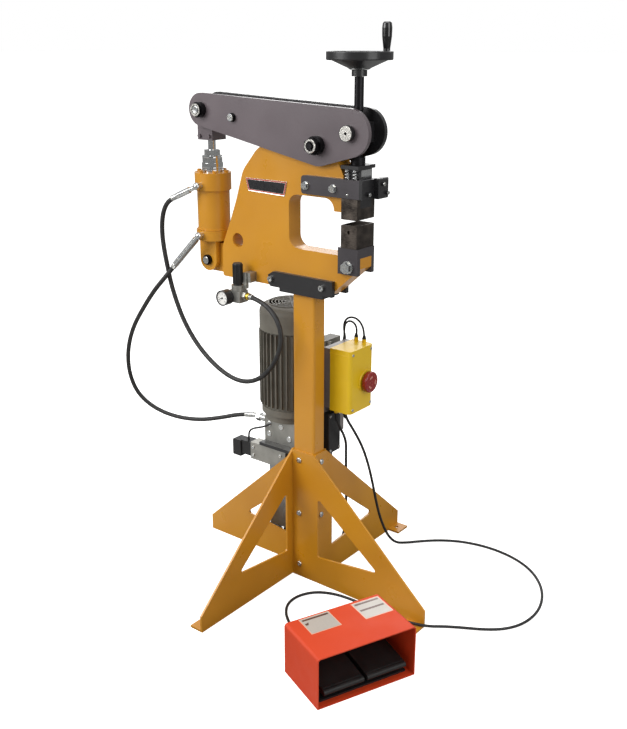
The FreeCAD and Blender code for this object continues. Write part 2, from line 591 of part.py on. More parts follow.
def cylinder():
    body = fuse(pin_z(CYL_X, 0, FLANGE_R, 992, 1021), pin_z(CYL_X, 0, CYL_R, 1021, 1136),
                pin_z(CYL_X, 0, FLANGE_R, 1136, 1185))
    body = cut(body, pin_z(CYL_X, 0, 32, 1030, 1175), pin_z(CYL_X, 0, ROD_R + 0.5, 1170, 1190))
    for side in (-1, 1):
        y0 = min(side * EAR_IN, side * EAR_OUT)
        ear = fuse(box(CYL_X - 32, CYL_X + 32, y0, y0 + EAR_OUT - EAR_IN, CYL_BASE_Z, 992),
                   pin_y(CYL_X, CYL_BASE_Z, 32, y0, y0 + EAR_OUT - EAR_IN))
        body = body.fuse(ear)
    bore = pin_y(CYL_X, CYL_BASE_Z, PIN_R + FIT, -40, 40)
    save("cylinder_barrel", cut(body.removeSplitter(), bore))
    gland = fuse(pin_z(CYL_X, 0, 30.5, 1185, 1211), pin_z(CYL_X, 0, 28.5, 1211, 1231))
    save("cylinder_gland", cut(gland, pin_z(CYL_X, 0, ROD_R + FIT, 1180, 1240)))
    rod_body = fuse(pin_z(CYL_X, 0, ROD_R, 1040, 1290), pin_z(CYL_X, 0, 31.9, 1040, 1062),
                    hex_prism(V(CYL_X, 0, 1232), Z_AXIS, 40, 15))
    save("piston_rod", rod_body)
    yoke = fuse(box(REAR_X - 28, REAR_X + 28, -28, 28, 1276, REAR_Z), pin_y(REAR_X, REAR_Z, 28, -28, 28))
    yoke = cut(yoke, pin_y(REAR_X, REAR_Z, PIN_R + 1.2, -40, 40), pin_z(CYL_X, 0, ROD_R, 1270, 1290))
    screws = [rod(V(REAR_X + dx, -28, 1287), Y_AXIS * -1, 5, 6) for dx in (-19, 17)]
    save("rod_yoke", fuse(yoke, *screws))
    fittings()


def port_elbow(port):
    """A banjo fitting on the barrel: a boss from the flange, and a sleeve towards -X, down."""
    (x, y, z), degrees, lean, reach = port
    drop = math.radians(degrees)
    out = V(x - CYL_X, y, 0).normalize()
    boss = rod(V(x, y, z) - out * 1.8, out, 9, 22)
    boss = boss.cut(pin_z(CYL_X, 0, FLANGE_R, z - 30, z + 30))
    head = V(x, y, z) + out * 14
    way = V(-math.cos(drop), -lean, -math.sin(drop)).normalize()
    return head, way, boss


def fittings():
    head, way, boss = port_elbow(PORT_TOP)
    top = fuse(boss, Part.makeSphere(11, head), rod(head, way, 6.5, PORT_TOP[3]),
               rod(head + way * 28, way, 9, PORT_TOP[3] - 28))
    head, way, low_boss = port_elbow(PORT_LOW)
    low = fuse(low_boss, Part.makeSphere(11, head), rod(head, way, 7.5, PORT_LOW[3]),
               rod(head + way * 14, way, 9.5, PORT_LOW[3] - 16))
    save("cylinder_fittings", top, low)


# Power unit --------------------------------------------------------------------------

def power_unit():
    motor = pin_z(UNIT_X, UNIT_Y, MOTOR_R - 10, 483, 726)
    fins = []
    for k in range(36):
        fin = box(MOTOR_R - 12, MOTOR_R, -1.5, 1.5, 490, 722)
        fin.rotate(ORIGIN, Z_AXIS, 10 * k)
        fin.translate(V(UNIT_X, UNIT_Y, 0))
        fins.append(fin)
    flange = fuse(pin_z(UNIT_X, UNIT_Y, 82, 440, 462), pin_z(UNIT_X, UNIT_Y, 92, 462, 483))
    terminal = box(UNIT_X + 84, UNIT_X + 122, UNIT_Y + 8, UNIT_Y + 84, 610, 700)
    glands = [rod(V(UNIT_X + 122, y, z), X_AXIS, 8, 14) for y, z in ((171, 680), (148, 690))]
    body = motor.multiFuse(fins).removeSplitter()
    save("motor_body", fuse(body, flange, terminal, *glands))
    cowl = Part.makeCone(MOTOR_R - 2, MOTOR_R - 6, 70, V(UNIT_X, UNIT_Y, 726))
    dome = Part.makeCone(MOTOR_R - 6, MOTOR_R - 34, 14, V(UNIT_X, UNIT_Y, 796))
    save("fan_cowl", fuse(cowl, dome))
    manifold = fuse(box(-225, -105, 65, 185, 362, 440), box(-271, -130, 48, 88, 290, 346))
    save("manifold_block", manifold)
    tank = round_edges(box(-235, -70, 88, 220, 62, 352), 14, Z_AXIS, lambda p: True)
    save("oil_tank", tank)
    coil = fuse(box(-312, -271, 50, 86, 296, 342), box(-345, -312, 46, 84, 286, 340))
    save("solenoid_coil", round_edges(coil, 4, Y_AXIS, lambda p: p.x < -340))
    plate = box(-225, -50, 37.4, 185, 352, 362)
    flange = box(-92, -30, 31.4, 37.4, 300, 362)
    save("power_unit_bracket", fuse(plate, flange))
    port = fuse(rod(V(-225, 75, 428), X_AXIS * -1, 11, 22), hex_prism(V(-247, 75, 428), X_AXIS * -1, 24, 14),
                rod(V(-261, 75, 428), X_AXIS * -1, 8, 16))
    gauge = rod(V(-225, 110, 424), X_AXIS * -1, 15, 24)
    save("manifold_fittings", port, gauge)


# Electrical box ----------------------------------------------------------------------

def switch_box():
    plate = box(8, BOX_BACK, COLUMN_Y / 2 + 4, 152, BRACKET_Z0, BRACKET_Z1)
    flange = box(-30, BOX_BACK, COLUMN_Y / 2, COLUMN_Y / 2 + 4, BRACKET_Z0, BRACKET_Z1)
    save("box_bracket", fuse(plate, flange))
    save("capacitor_box", round_edges(box(BOX_BACK, 36, 50, 106, 388, 512), 4, Z_AXIS, lambda p: p.x > 30))
    base = box(BOX_BACK, BOX_SEAM, 50, 156, BOX_Z0 + 4, BOX_Z1 - 4)
    save("switch_box_base", base)
    cover = round_edges(box(BOX_SEAM, BOX_FRONT, 46, 158, BOX_Z0, BOX_Z1), 11, Z_AXIS, lambda p: p.x > 100)
    cover = cut(cover, rod(V(BOX_FRONT + 1, BUTTON_Y, BUTTON_Z), X_AXIS * -1, 16, 21))
    glands = [pin_z(x, y, 7, BOX_Z0 - 12, BOX_Z0) for x, y in BOX_GLANDS]
    glands += [pin_z(x, y, 6, BOX_Z1, BOX_Z1 + 12) for x, y in TOP_GLANDS]
    reset = rod(V(BOX_FRONT, 92, 602), X_AXIS, 5, 2)
    save("switch_box_cover", fuse(cover, reset, *glands))
    stem = rod(V(100, BUTTON_Y, BUTTON_Z), X_AXIS, 15.5, 20)
    button = fuse(stem, rod(V(120, BUTTON_Y, BUTTON_Z), X_AXIS, 31, 14))
    button = button.makeFillet(5, [e for e in button.Edges if e.BoundBox.XMin > 133])
    save("stop_button", button)


# Air regulator -----------------------------------------------------------------------

def regulator():
    body = fuse(pin_z(-209, -60, 19, 868, 885), box(-228, -188, -78, -42, 836, 870),
                box(-190, -169, -52, -25.4, 894, 922), box(-209, -190, -66, -46, 870, 884),
                box(-193, -181, -56, -46, 876, 922), box(-209, -181, -56, -46, 876, 884))
    outlet = fuse(hex_prism(V(-188, -60, 856), X_AXIS, 22, 12), rod(V(-176, -60, 856), X_AXIS, 8, 14))
    inlet = cut(rod(V(-228, -60, 856), X_AXIS * -1, 11, 10), rod(V(-229, -60, 856), X_AXIS * -1, 6.6, 12))
    save("regulator_body", fuse(body, outlet, inlet))
    knob = fuse(pin_z(-209, -60, 14.8, 885.8, 945), pin_z(-209, -60, 13, 945, 948))
    save("regulator_knob", knob)
    save("pressure_gauge", rod(V(-232, -78, 850), Y_AXIS * -1, 22, 24))


# Pedal -------------------------------------------------------------------------------

def place_pedal(shape):
    copy = shape.copy()
    copy.rotate(ORIGIN, Z_AXIS, PEDAL_TURN)
    copy.translate(V(PEDAL_X, PEDAL_Y, 0))
    return copy


def pedal():
    half_l = GUARD_L / 2
    half_w = GUARD_W / 2
    outer = box(-half_l, half_l, -half_w, half_w, 0, GUARD_H)
    outer = round_edges(outer, 9, X_AXIS, lambda p: p.z > 1)
    inner = box(-half_l + GUARD_WALL, half_l + 1, -half_w + GUARD_WALL, half_w - GUARD_WALL,
                GUARD_WALL, GUARD_H - GUARD_WALL)
    inner = round_edges(inner, 6, X_AXIS, lambda p: p.z > 10)
    shell = cut(outer, inner, rod(V(-half_l - 1, PEDAL_GLAND_Y, 30), X_AXIS, 8, 6))
    save("pedal_guard", place_pedal(shell))
    floor = box(-half_l + GUARD_WALL, 66, -128, 128, GUARD_WALL, 8)
    tower = box(-half_l + GUARD_WALL, -60, -128, 128, 8, 52)
    axle = rod(V(-52, -128, 40), Y_AXIS, 5, 256)
    cheeks = [box(-60, -46, y - 3, y + 3, 8, 47) for y in (-125, 0, 125)]
    gland = rod(V(-half_l + GUARD_WALL, PEDAL_GLAND_Y, 30), X_AXIS * -1, 8, 15)
    save("pedal_base", place_pedal(fuse(floor, tower, axle, gland, *cheeks)))
    for name, y0 in (("treadle_left", -120.0), ("treadle_right", 5.0)):
        plate = profile_y([(-52, 33), (-45, 33), (74, 24), (78, 30), (74, 40), (-45, 54),
                           (-52, 47)], y0, y0 + 115)
        hub = rod(V(-52, y0, 40), Y_AXIS, 7, 115)
        tread = cut(fuse(plate, hub), rod(V(-52, y0 - 1, 40), Y_AXIS, 5 + FIT, 120))
        save(name, place_pedal(tread))


# Cords -------------------------------------------------------------------------------

def sleeve_end(port):
    """Where a port's sleeve ends, and the hose's first point straight out of it."""
    head, way, boss = port_elbow(port)
    end = head + way * port[3]
    ahead = end + way * 30
    return [tuple(end), tuple(ahead)]


def cords():
    cord_tube("air_hose", sleeve_end(PORT_TOP) + AIR_HOSE, HOSE_D)
    cord_tube("hydraulic_hose", sleeve_end(PORT_LOW) + OIL_HOSE, HOSE_D)
    inlet = place_pedal(Part.Vertex(-GUARD_L / 2 - 12, PEDAL_GLAND_Y, 30)).Point
    cord_tube("pedal_cable", PEDAL_CABLE + [tuple(inlet)], LEAD_D)
    cord_tube("mains_lead", MAINS_LEAD, LEAD_D)
    cord_tube("motor_lead", MOTOR_LEAD, MOTOR_LEAD_D)
    cord_tube("control_lead", CONTROL_LEAD, MOTOR_LEAD_D)
    cord_tube("valve_lead", VALVE_LEAD, MOTOR_LEAD_D)
    coil = ring_z(COIL_X, COIL_Y, COIL_MID + 12, COIL_MID - 12, 0.2, 16.2)
    save("mains_coil", coil)
    way = COIL_Y + COIL_MID
    taper = Part.makeCone(5, 9, 18, V(COIL_X + 38, way, 12.2), X_AXIS)
    body = round_edges(box(COIL_X + 56, COIL_X + 98, way - 12, way + 12, 0.2, 26), 5, Z_AXIS,
                       lambda p: True)
    pins = [rod(V(COIL_X + 97, way + dy, 13), X_AXIS, 2.4, 20) for dy in (-6, 6)]
    save("mains_plug", fuse(taper, body, *pins))


os.makedirs("parts", exist_ok=True)
stand()
c_frame()
clamp_bars()
frame_screws()
badge()
lower_tools()
guide()
frame_pins()
lever()
trunnion()
spindle()
ram()
cylinder()
power_unit()
switch_box()
regulator()
pedal()
cords()
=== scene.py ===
import math
import bpy
import bmesh
from mathutils import Matrix, Vector


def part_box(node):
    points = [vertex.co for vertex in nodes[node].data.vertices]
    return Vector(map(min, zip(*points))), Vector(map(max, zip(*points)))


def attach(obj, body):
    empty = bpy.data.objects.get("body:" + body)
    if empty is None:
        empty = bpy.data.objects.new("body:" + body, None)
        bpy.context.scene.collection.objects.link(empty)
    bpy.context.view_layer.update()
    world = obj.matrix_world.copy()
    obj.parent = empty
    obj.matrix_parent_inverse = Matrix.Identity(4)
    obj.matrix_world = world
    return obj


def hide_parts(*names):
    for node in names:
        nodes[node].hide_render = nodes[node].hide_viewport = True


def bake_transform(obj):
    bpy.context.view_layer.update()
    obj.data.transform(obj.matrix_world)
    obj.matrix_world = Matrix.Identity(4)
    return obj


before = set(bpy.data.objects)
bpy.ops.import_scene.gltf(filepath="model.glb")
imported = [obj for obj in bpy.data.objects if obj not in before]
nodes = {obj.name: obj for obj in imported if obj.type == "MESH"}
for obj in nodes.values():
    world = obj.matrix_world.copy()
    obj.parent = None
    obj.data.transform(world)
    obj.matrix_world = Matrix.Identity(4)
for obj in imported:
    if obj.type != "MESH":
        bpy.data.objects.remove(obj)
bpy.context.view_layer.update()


# Camera. A person's eye height, a step back from the jaws' side, looking a little down at the
# whole machine from the front left.
camera_data = bpy.data.cameras.new("camera")
camera = bpy.data.objects.new("camera", camera_data)
bpy.context.scene.collection.objects.link(camera)
bpy.context.scene.camera = camera
camera.location = (1.5687, -2.0079, 1.540)
camera.rotation_euler = (math.radians(71.2), 0, math.radians(38))
camera_data.sensor_width = 36
camera_data.lens = 46.91
camera_data.shift_x = 0.0062


# Floor and light. A seamless, faintly backlit white floor under four large soft lamps, as in a
# product studio: a broad key from the left, a fill, a strip from behind and one overhead.
def linear(code):
    """An sRGB hex colour as linear RGBA."""
    channels = [int(code[k:k + 2], 16) / 255 for k in (1, 3, 5)]
    return tuple(c / 12.92 if c <= 0.04045 else ((c + 0.055) / 1.055) ** 2.4
                 for c in channels) + (1.0,)


def add(tree, kind, settings=None, **links):
    """Adds one shader node, sets its sockets or fields by name and links its inputs."""
    node = tree.nodes.new("ShaderNode" + kind)
    for name, value in (settings or {}).items():
        if name in node.inputs:
            node.inputs[name].default_value = value
        else:
            setattr(node, name, value)
    for name, source in links.items():
        tree.links.new(source, node.inputs[name.replace("_", " ")])
    return node


def new_material(name, settings):
    """A material with one Principled shader; returns it, its tree and the shader."""
    made = bpy.data.materials.new(name)
    made.use_nodes = True
    shader = made.node_tree.nodes["Principled BSDF"]
    for socket, value in settings.items():
        shader.inputs[socket].default_value = value
    return made, made.node_tree, shader


def noise_of(tree, millimetres, detail=3.0, stretch=(1, 1, 1)):
    """Noise whose blotches are about that many millimetres across on the object."""
    place = add(tree, "TexCoord")
    scaled = add(tree, "Mapping", {"Scale": stretch}, Vector=place.outputs["Object"])
    return add(tree, "TexNoise", {"Scale": 1000 / millimetres, "Detail": detail},
               Vector=scaled.outputs["Vector"]).outputs["Fac"]


def spread(tree, source, low, high, least=0.3, most=0.7):
    """A value from low to high as the source goes from least to most."""
    return add(tree, "MapRange", {"From Min": least, "From Max": most, "To Min": low, "To Max": high},
               Value=source).outputs["Result"]


def mix_colour(tree, factor, first, second):
    """Two hex colours, or a colour socket first, blended by a factor socket."""
    node = add(tree, "Mix", {"data_type": "RGBA"})
    tree.links.new(factor, node.inputs[0])
    for socket, value in ((6, first), (7, second)):
        if isinstance(value, str):
            node.inputs[socket].default_value = linear(value)
        else:
            tree.links.new(value, node.inputs[socket])
    return node.outputs[2]


def bump(tree, shader, height, millimetres, strength=1.0):
    """Raises the surface by a height socket, full height given in millimetres."""
    node = add(tree, "Bump", {"Distance": millimetres / 1000, "Strength": strength}, Height=height)
    tree.links.new(node.outputs["Normal"], shader.inputs["Normal"])


paper, tree, shader = new_material("matt_white_studio_paper", {"Roughness": 0.9})
shader.inputs["Emission Color"].default_value = linear("#FFFFFF")
# Only the camera sees the backlight; grey to everything else, the paper lets metals look dark.
seen = add(tree, "LightPath").outputs["Is Camera Ray"]
tree.links.new(spread(tree, seen, 0.0, 0.72, 0, 1), shader.inputs["Emission Strength"])
shade = mix_colour(tree, noise_of(tree, 400), "#F4F4F2", "#F1F1EF")
# Its hidden bands, 1.2 m wide, stand for the studio's flags and cards in every reflection.
cards = add(tree, "TexWave", {"Scale": 0.26, "Distortion": 2.0, "Detail": 1.0},
            Vector=add(tree, "TexCoord").outputs["Object"]).outputs["Fac"]
hidden = mix_colour(tree, cards, "#5E5E5D", "#C4C4C2")
tree.links.new(mix_colour(tree, seen, hidden, shade), shader.inputs["Base Color"])
sweep = bmesh.new()
bmesh.ops.create_grid(sweep, x_segments=1, y_segments=1, size=120)
floor_mesh = bpy.data.meshes.new("studio_floor")
sweep.to_mesh(floor_mesh)
sweep.free()
floor_mesh.materials.append(paper)
studio_floor = bpy.data.objects.new("studio_floor", floor_mesh)
bpy.context.scene.collection.objects.link(studio_floor)

sky = bpy.data.worlds.new("studio_air")
sky.use_nodes = True
backdrop = sky.node_tree.nodes["Background"]
backdrop.inputs["Color"].default_value = linear("#FFFFFF")
tree = sky.node_tree
way = add(tree, "SeparateXYZ", Vector=add(tree, "TexCoord").outputs["Generated"]).outputs["Z"]
seen = add(tree, "LightPath").outputs["Is Camera Ray"]
air = add(tree, "Math", {"operation": "MAXIMUM"})
tree.links.new(spread(tree, way, 0.3, 0.75, 0.0, 0.8), air.inputs[0])
tree.links.new(seen, air.inputs[1])
tree.links.new(air.outputs["Value"], backdrop.inputs["Strength"])
bpy.context.scene.world = sky
bpy.context.scene.view_settings.view_transform = "Standard"

lamps = (("key", (-1.7, -2.7, 2.5), 2.2, 100), ("fill", (3.2, -0.6, 2.0), 1.8, 34),
         ("rim", (-1.8, 2.8, 2.6), 1.6, 30), ("top", (0.3, -0.2, 3.6), 1.8, 26))
for name, place, size, watts in lamps:
    lamp = bpy.data.lights.new(name, "AREA")
    lamp.size = size
    lamp.energy = watts
    holder = bpy.data.objects.new(name, lamp)
    bpy.context.scene.collection.objects.link(holder)
    holder.location = place
    aim = Vector((0.0, 0.0, 0.85)) - Vector(place)
    holder.rotation_euler = aim.to_track_quat("-Z", "Y").to_euler()


# Hydraulic and air hoses. Black nitrile rubber over a braided core, extruded and cured under a
# cloth wrap, with crimped steel ferrules; both hang in open loops beside the cylinder.
def as_points(route):
    """A route in millimetres as points in metres."""
    return [tuple(c / 1000 for c in point) for point in route]


def smooth_line(name, points, diameter, sides=5):
    """A smooth round line through the air along control points in metres."""
    line = bpy.data.curves.new(name, "CURVE")
    line.dimensions = "3D"
    line.bevel_depth = diameter / 2
    line.bevel_resolution = sides
    line.resolution_u = 8
    line.use_fill_caps = True
    spline = line.splines.new("NURBS")
    spline.points.add(len(points) - 1)
    for slot, point in zip(spline.points, points):
        slot.co = (*point, 1)
    spline.order_u = 3
    spline.use_endpoint_u = True
    made = bpy.data.objects.new(name, line)
    bpy.context.scene.collection.objects.link(made)
    return made


def mesh_from(maker):
    """The mesh that a curve or text object makes."""
    bpy.context.view_layer.update()
    shaped = maker.evaluated_get(bpy.context.evaluated_depsgraph_get())
    return bpy.data.meshes.new_from_object(shaped)


def as_piece(mesh, name, coating):
    """Puts a finished mesh in the scene as a smooth piece with its coating."""
    mesh.materials.clear()
    mesh.materials.append(coating)
    for face in mesh.polygons:
        face.use_smooth = True
    piece = bpy.data.objects.new(name, mesh)
    bpy.context.scene.collection.objects.link(piece)
    return piece


def cord_curve(name, points, diameter, coating):
    """A smooth round cord that rides on the stand."""
    cord = smooth_line(name, points, diameter)
    cord.data.materials.append(coating)
    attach(cord, "stand")
    return cord


def finish_mesh(mesh_builder, name, coating, body, smooth=35, bevel=0.0):
    """Turns a bmesh into a named piece with clean normals, its coating and body."""
    bmesh.ops.remove_doubles(mesh_builder, verts=mesh_builder.verts, dist=1e-6)
    bmesh.ops.recalc_face_normals(mesh_builder, faces=mesh_builder.faces)
    mesh = bpy.data.meshes.new(name)
    mesh_builder.to_mesh(mesh)
    mesh_builder.free()
    mesh.materials.append(coating)
    for face in mesh.polygons:
        face.use_smooth = True
    mesh.set_sharp_from_angle(angle=math.radians(smooth))
    piece = bpy.data.objects.new(name, mesh)
    bpy.context.scene.collection.objects.link(piece)
    if bevel:
        edge = piece.modifiers.new("edge", "BEVEL")
        edge.width = bevel
        edge.segments = 2
        edge.limit_method = "ANGLE"
        edge.harden_normals = True
    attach(piece, body)
    return piece


def lathe(builder, profile, start, way, steps=32):
    """Spins a closed or open profile of (radius, along) in millimetres about a line from start."""
    turn = Vector((0, 0, 1)).rotation_difference(Vector(way).normalized()).to_matrix().to_4x4()
    place = Matrix.Translation(Vector(start) / 1000) @ turn
    verts = [builder.verts.new(place @ Vector((r / 1000, 0, z / 1000))) for r, z in profile]
    edges = [builder.edges.new(pair) for pair in zip(verts, verts[1:])]
    centre = place @ Vector((0, 0, 0))
    axis = place.to_3x3() @ Vector((0, 0, 1))
    bmesh.ops.spin(builder, geom=verts + edges, cent=centre, axis=axis, angle=2 * math.pi,
                   steps=steps, use_merge=True)
    bmesh.ops.remove_doubles(builder, verts=builder.verts, dist=1e-6)


def dress(tree, shader, tone, roughness):
    """Links a colour and a roughness socket to the shader."""
    tree.links.new(tone, shader.inputs["Base Color"])
    tree.links.new(roughness, shader.inputs["Roughness"])


def hose_rubber():
    """Cloth wrapped nitrile: nearly black, dull, with the fine spiral print of the wrap."""
    made, tree, shader = new_material("cloth_wrapped_nitrile_rubber", {"Roughness": 0.52,
                                      "Specular IOR Level": 0.45})
    place = add(tree, "TexCoord")
    # The real wrap has a 2 mm pitch; it is drawn at 4 mm so that it can be seen.
    wrap = add(tree, "TexWave", {"Scale": 314 / 4.0, "Distortion": 1.2, "Detail": 2.0,
               "bands_direction": "DIAGONAL"}, Vector=place.outputs["Object"])
    dust = noise_of(tree, 18)
    tone = mix_colour(tree, spread(tree, dust, 0, 1), "#1A1A1B", "#2C2B2A")
    dress(tree, shader, tone,
          spread(tree, dust, 0.42, 0.62))
    bump(tree, shader, wrap.outputs["Fac"], 0.25, 0.6)
    return made


rubber_hose = hose_rubber()
air_route = [(-421.4, -75.9, 1118.2), (-448.5, -79.8, 1105.8), (-473, -80, 1081), (-486, -80, 1044),
             (-489, -80, 998), (-484, -79, 950), (-474, -78, 900), (-464, -77, 852), (-449, -75, 806),
             (-422, -76, 752), (-381, -77, 698), (-329, -79, 654), (-267, -81, 620), (-207, -81, 603),
             (-154, -81, 608), (-105, -80, 634), (-67, -78, 676), (-45, -75, 722), (-40, -72, 768),
             (-56, -69, 807), (-88, -65, 835), (-126, -61, 850), (-162, -60, 856)]
oil_route = [(-433.6, -84.4, 916.4), (-453.3, -88.9, 894.3), (-474, -98, 868), (-504, -106, 834),
             (-541, -105, 792), (-580, -100, 748), (-622, -92, 700), (-664, -81, 636),
             (-696, -65, 565), (-706, -50, 496), (-690, -34, 434), (-638, -14, 391),
             (-562, 8, 371), (-474, 32, 374), (-395, 54, 396), (-330, 70, 419), (-277, 75, 428)]
hose_width = 0.0135
for name, route, length, still in (("air_hose", air_route, 1.095, (-0.489, -0.080, 0.998)),
                                   ("hydraulic_hose", oil_route, 1.032, (-0.541, -0.105, 0.792))):
    points = as_points(route)
    maker = smooth_line(name, points, 0)
    centreline = [tuple(vertex.co) for vertex in mesh_from(maker).vertices]
    maker.data.bevel_depth = hose_width / 2
    hose = as_piece(mesh_from(maker), name + "_tube", rubber_hose)
    bpy.data.objects.remove(maker)
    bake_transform(hose)
    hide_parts(name)


# Electric cords. PVC jacketed flexible cords: the pedal's cord lies in one wide turn on the floor,
# and the mains lead drops behind the column to a stored coil and its plug.
def cord_jacket():
    """Soft matt PVC: black, with a faint grey bloom and a very fine drag texture."""
    made, tree, shader = new_material("matt_pvc_cord_jacket", {"Roughness": 0.48,
                                      "Specular IOR Level": 0.45})
    bloom = noise_of(tree, 9)
    dress(tree, shader, mix_colour(tree, spread(tree, bloom, 0, 1), "#141415", "#242425"),
          spread(tree, bloom, 0.4, 0.56))
    bump(tree, shader, noise_of(tree, 1.6), 0.06, 0.5)
    return made


jacket = cord_jacket()
pedal_route = [(60, 92, 518), (64, 95, 494), (84, 106, 458), (104, 122, 408), (118, 134, 352),
               (126, 147, 290), (130, 162, 225), (131, 184, 160), (130, 214, 104), (126, 250, 56),
               (128, 288, 20), (138, 326, 6), (162, 358, 4.2), (192, 390, 4.4), (230, 422, 4.2),
               (278, 448, 4.4), (336, 465, 4.2), (404, 468, 4.4), (474, 454, 4.2), (538, 420, 4.4),
               (592, 366, 4.2), (630, 298, 4.4), (648, 224, 4.2), (642, 150, 4.4), (612, 94, 4.2),
               (566, 56, 4.4), (514, 28, 4.2), (474, 2, 5), (446, -28, 9), (416, -48, 14),
               (380, -56, 13.5), (340, -56, 8), (296, -50, 4.4), (240, -46, 4.2), (184, -46, 4.4),
               (130, -54, 4.2), (84, -80, 4.4), (58, -124, 4.2), (58, -172, 4.4), (82, -214, 4.2),
               (120, -246, 4.4), (162, -274, 8), (202, -298, 17), (240, -322, 27),
               (269.35, -337.94, 30)]
pedal_cord = cord_curve("pedal_cable_line", as_points(pedal_route), 0.008, jacket)
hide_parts("pedal_cable")

mains_route = [(50, 66, 518), (51, 67, 496), (54, 78, 468), (54, 98, 438), (47, 120, 404),
               (33, 140, 362), (22, 156, 312), (16, 166, 256), (13, 172, 198), (12, 174, 140),
               (10, 172, 86), (2, 164, 40), (-24, 148, 10), (-70, 128, 4.2), (-126, 112, 4.4),
               (-180, 84, 4.2), (-224, 65, 4.4), (-262, 59, 4.2)]
coil_centre = (-262, 111)
turn_points = 16
coil_route = []
coil_layers = ((4.3, (52, 44, 36)), (12.3, (36, 44, 52)))
step_up = coil_layers[1][0] - coil_layers[0][0]
for layer, (z, radii) in enumerate(coil_layers):
    for k, radius in enumerate(radii):
        for step in range(turn_points):
            part = step / turn_points
            following = radii[k + 1] if k < 2 else radius
            reach = radius + (following - radius) * part
            lift = step_up * max(0.0, part - 0.5) * 2 if layer == 0 and k == 2 else 0
            angle = math.radians(-90 - 360 * part)
            coil_route.append((coil_centre[0] + reach * math.cos(angle),
                               coil_centre[1] + reach * math.sin(angle), z + lift))
# The last turn stops short, where the plug lies.
coil_route = coil_route[1:-10]
mains_points = as_points(mains_route[:-1] + [(-262, 59.5, 4.3)] + coil_route)
mains_curve = cord_curve("mains_lead_line", mains_points, 0.008, jacket)
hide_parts("mains_lead", "mains_coil")

lead_routes = {
    "motor_lead": ([(-29, 171, 680), (-12, 171, 681), (1, 170.5, 691), (4, 169.5, 712),
                    (-1, 168, 736), (1, 166, 758), (14, 162, 775), (34, 158, 783), (56, 153, 783),
                    (74, 149, 773), (86, 146.5, 754), (88, 145, 730)], 0.231),
    "control_lead": ([(-29, 148, 690), (-15, 148, 690), (-2, 149, 694), (8, 150, 704),
                      (13, 151, 720), (12.4, 151.5, 738), (14, 152, 756), (20, 151.5, 766),
                      (30, 151, 772), (42, 150.5, 772), (52, 150, 766), (57.8, 149.5, 756),
                      (58.8, 148.7, 743), (58, 148, 730)], 0.177),
    "valve_lead": ([(-290, 62, 342), (-289, 60, 362), (-278, 54, 382), (-256, 50, 396),
                    (-232, 52, 404), (-212, 58, 412), (-200, 65, 420)], 0.133)}
for name, (route, length) in lead_routes.items():
    lead = cord_curve(name + "_line", as_points(route), 0.006, jacket)
    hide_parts(name)


# Stand. A rolled steel tube with four flame cut legs bolted to its sides, powder coated in one
# warm gold; the coat is baked on, so it is glossy with a faint orange peel and rounds the edges.
def powder_coat(name, deep, pale, gloss, peel=0.05, lacquer=0.2):
    """Baked powder coat: two close shades, small gloss changes and an orange peel of about 4 mm."""
    made, tree, shader = new_material(name, {"Specular IOR Level": 0.5, "Coat Weight": lacquer,
                                      "Coat Roughness": 0.14})
    cloud = noise_of(tree, 220, 2.0)
    speck = noise_of(tree, 1.4, 1.0)
    tone = mix_colour(tree, spread(tree, cloud, 0, 1), deep, pale)
    dress(tree, shader, mix_colour(tree, spread(tree, speck, 0.0, 0.25, 0.55, 0.8), tone, deep),
          spread(tree, noise_of(tree, 60), gloss - 0.05, gloss + 0.07))
    bump(tree, shader, noise_of(tree, 4.0, 2.0), peel, 0.8)
    return made


def coat(material, *names):
    """Gives CAD nodes their finish."""
    for name in names:
        slots = nodes[name].data.materials
        slots.clear()
        slots.append(material)


gold_coat = powder_coat("gold_powder_coat", "#BE811A", "#CB8E22", 0.32)
coat(gold_coat, "column_tube", "leg_front", "leg_far", "leg_rear", "leg_near", "c_frame",
     "cylinder_barrel")


def zinc_plate():
    """Bright zinc on turned steel: silver with a faint blue and straw bloom and fine tool rings."""
    made, tree, shader = new_material("bright_zinc_plated_steel", {"Metallic": 1.0})
    bloom = noise_of(tree, 7, 2.0)
    dress(tree, shader, mix_colour(tree, spread(tree, bloom, 0, 1), "#BFC3C8", "#D8D6CE"),
          spread(tree, noise_of(tree, 2.5), 0.16, 0.34))
    bump(tree, shader, noise_of(tree, 0.9), 0.02, 0.5)
    return made


zinc = zinc_plate()
coat(zinc, "leg_bolts", "frame_screws", "manifold_fittings")


def brass_finish():
    """Turned brass fitting with a yellow tag colour: warm, softly bright."""
    made, tree, shader = new_material("turned_brass", {"Metallic": 1.0})
    dress(tree, shader, mix_colour(tree, noise_of(tree, 8), "#C7A63A", "#D8BC4E"),
          spread(tree, noise_of(tree, 3), 0.22, 0.36))
    bump(tree, shader, noise_of(tree, 1.2), 0.02, 0.4)
    return made


brass = brass_finish()


# Weld beads. A run of overlapping puddles where the column meets its cap plate and where the
# cylinder's lug meets the frame, coated over with the rest.
def limits(node):
    """The two corners of a CAD node's box, in millimetres."""
    low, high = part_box(node)
    return Vector(low) * 1000, Vector(high) * 1000


def weld_bead(builder, start, end, size=3.4, pitch=4.2):
    """Overlapping puddles from start to end, in millimetres."""
    way = Vector(end) - Vector(start)
    count = max(2, round(way.length / pitch))
    for k in range(count + 1):
        wobble = Vector((0.35 * math.sin(2.3 * k), 0.35 * math.cos(1.7 * k), 0.3 * math.sin(3.1 * k)))
        centre = (Vector(start) + way * k / count + wobble) / 1000
        scale = size * (1 + 0.12 * math.sin(1.9 * k)) / 1000
        bmesh.ops.create_icosphere(builder, subdivisions=2, radius=scale,
                                   matrix=Matrix.Translation(centre))


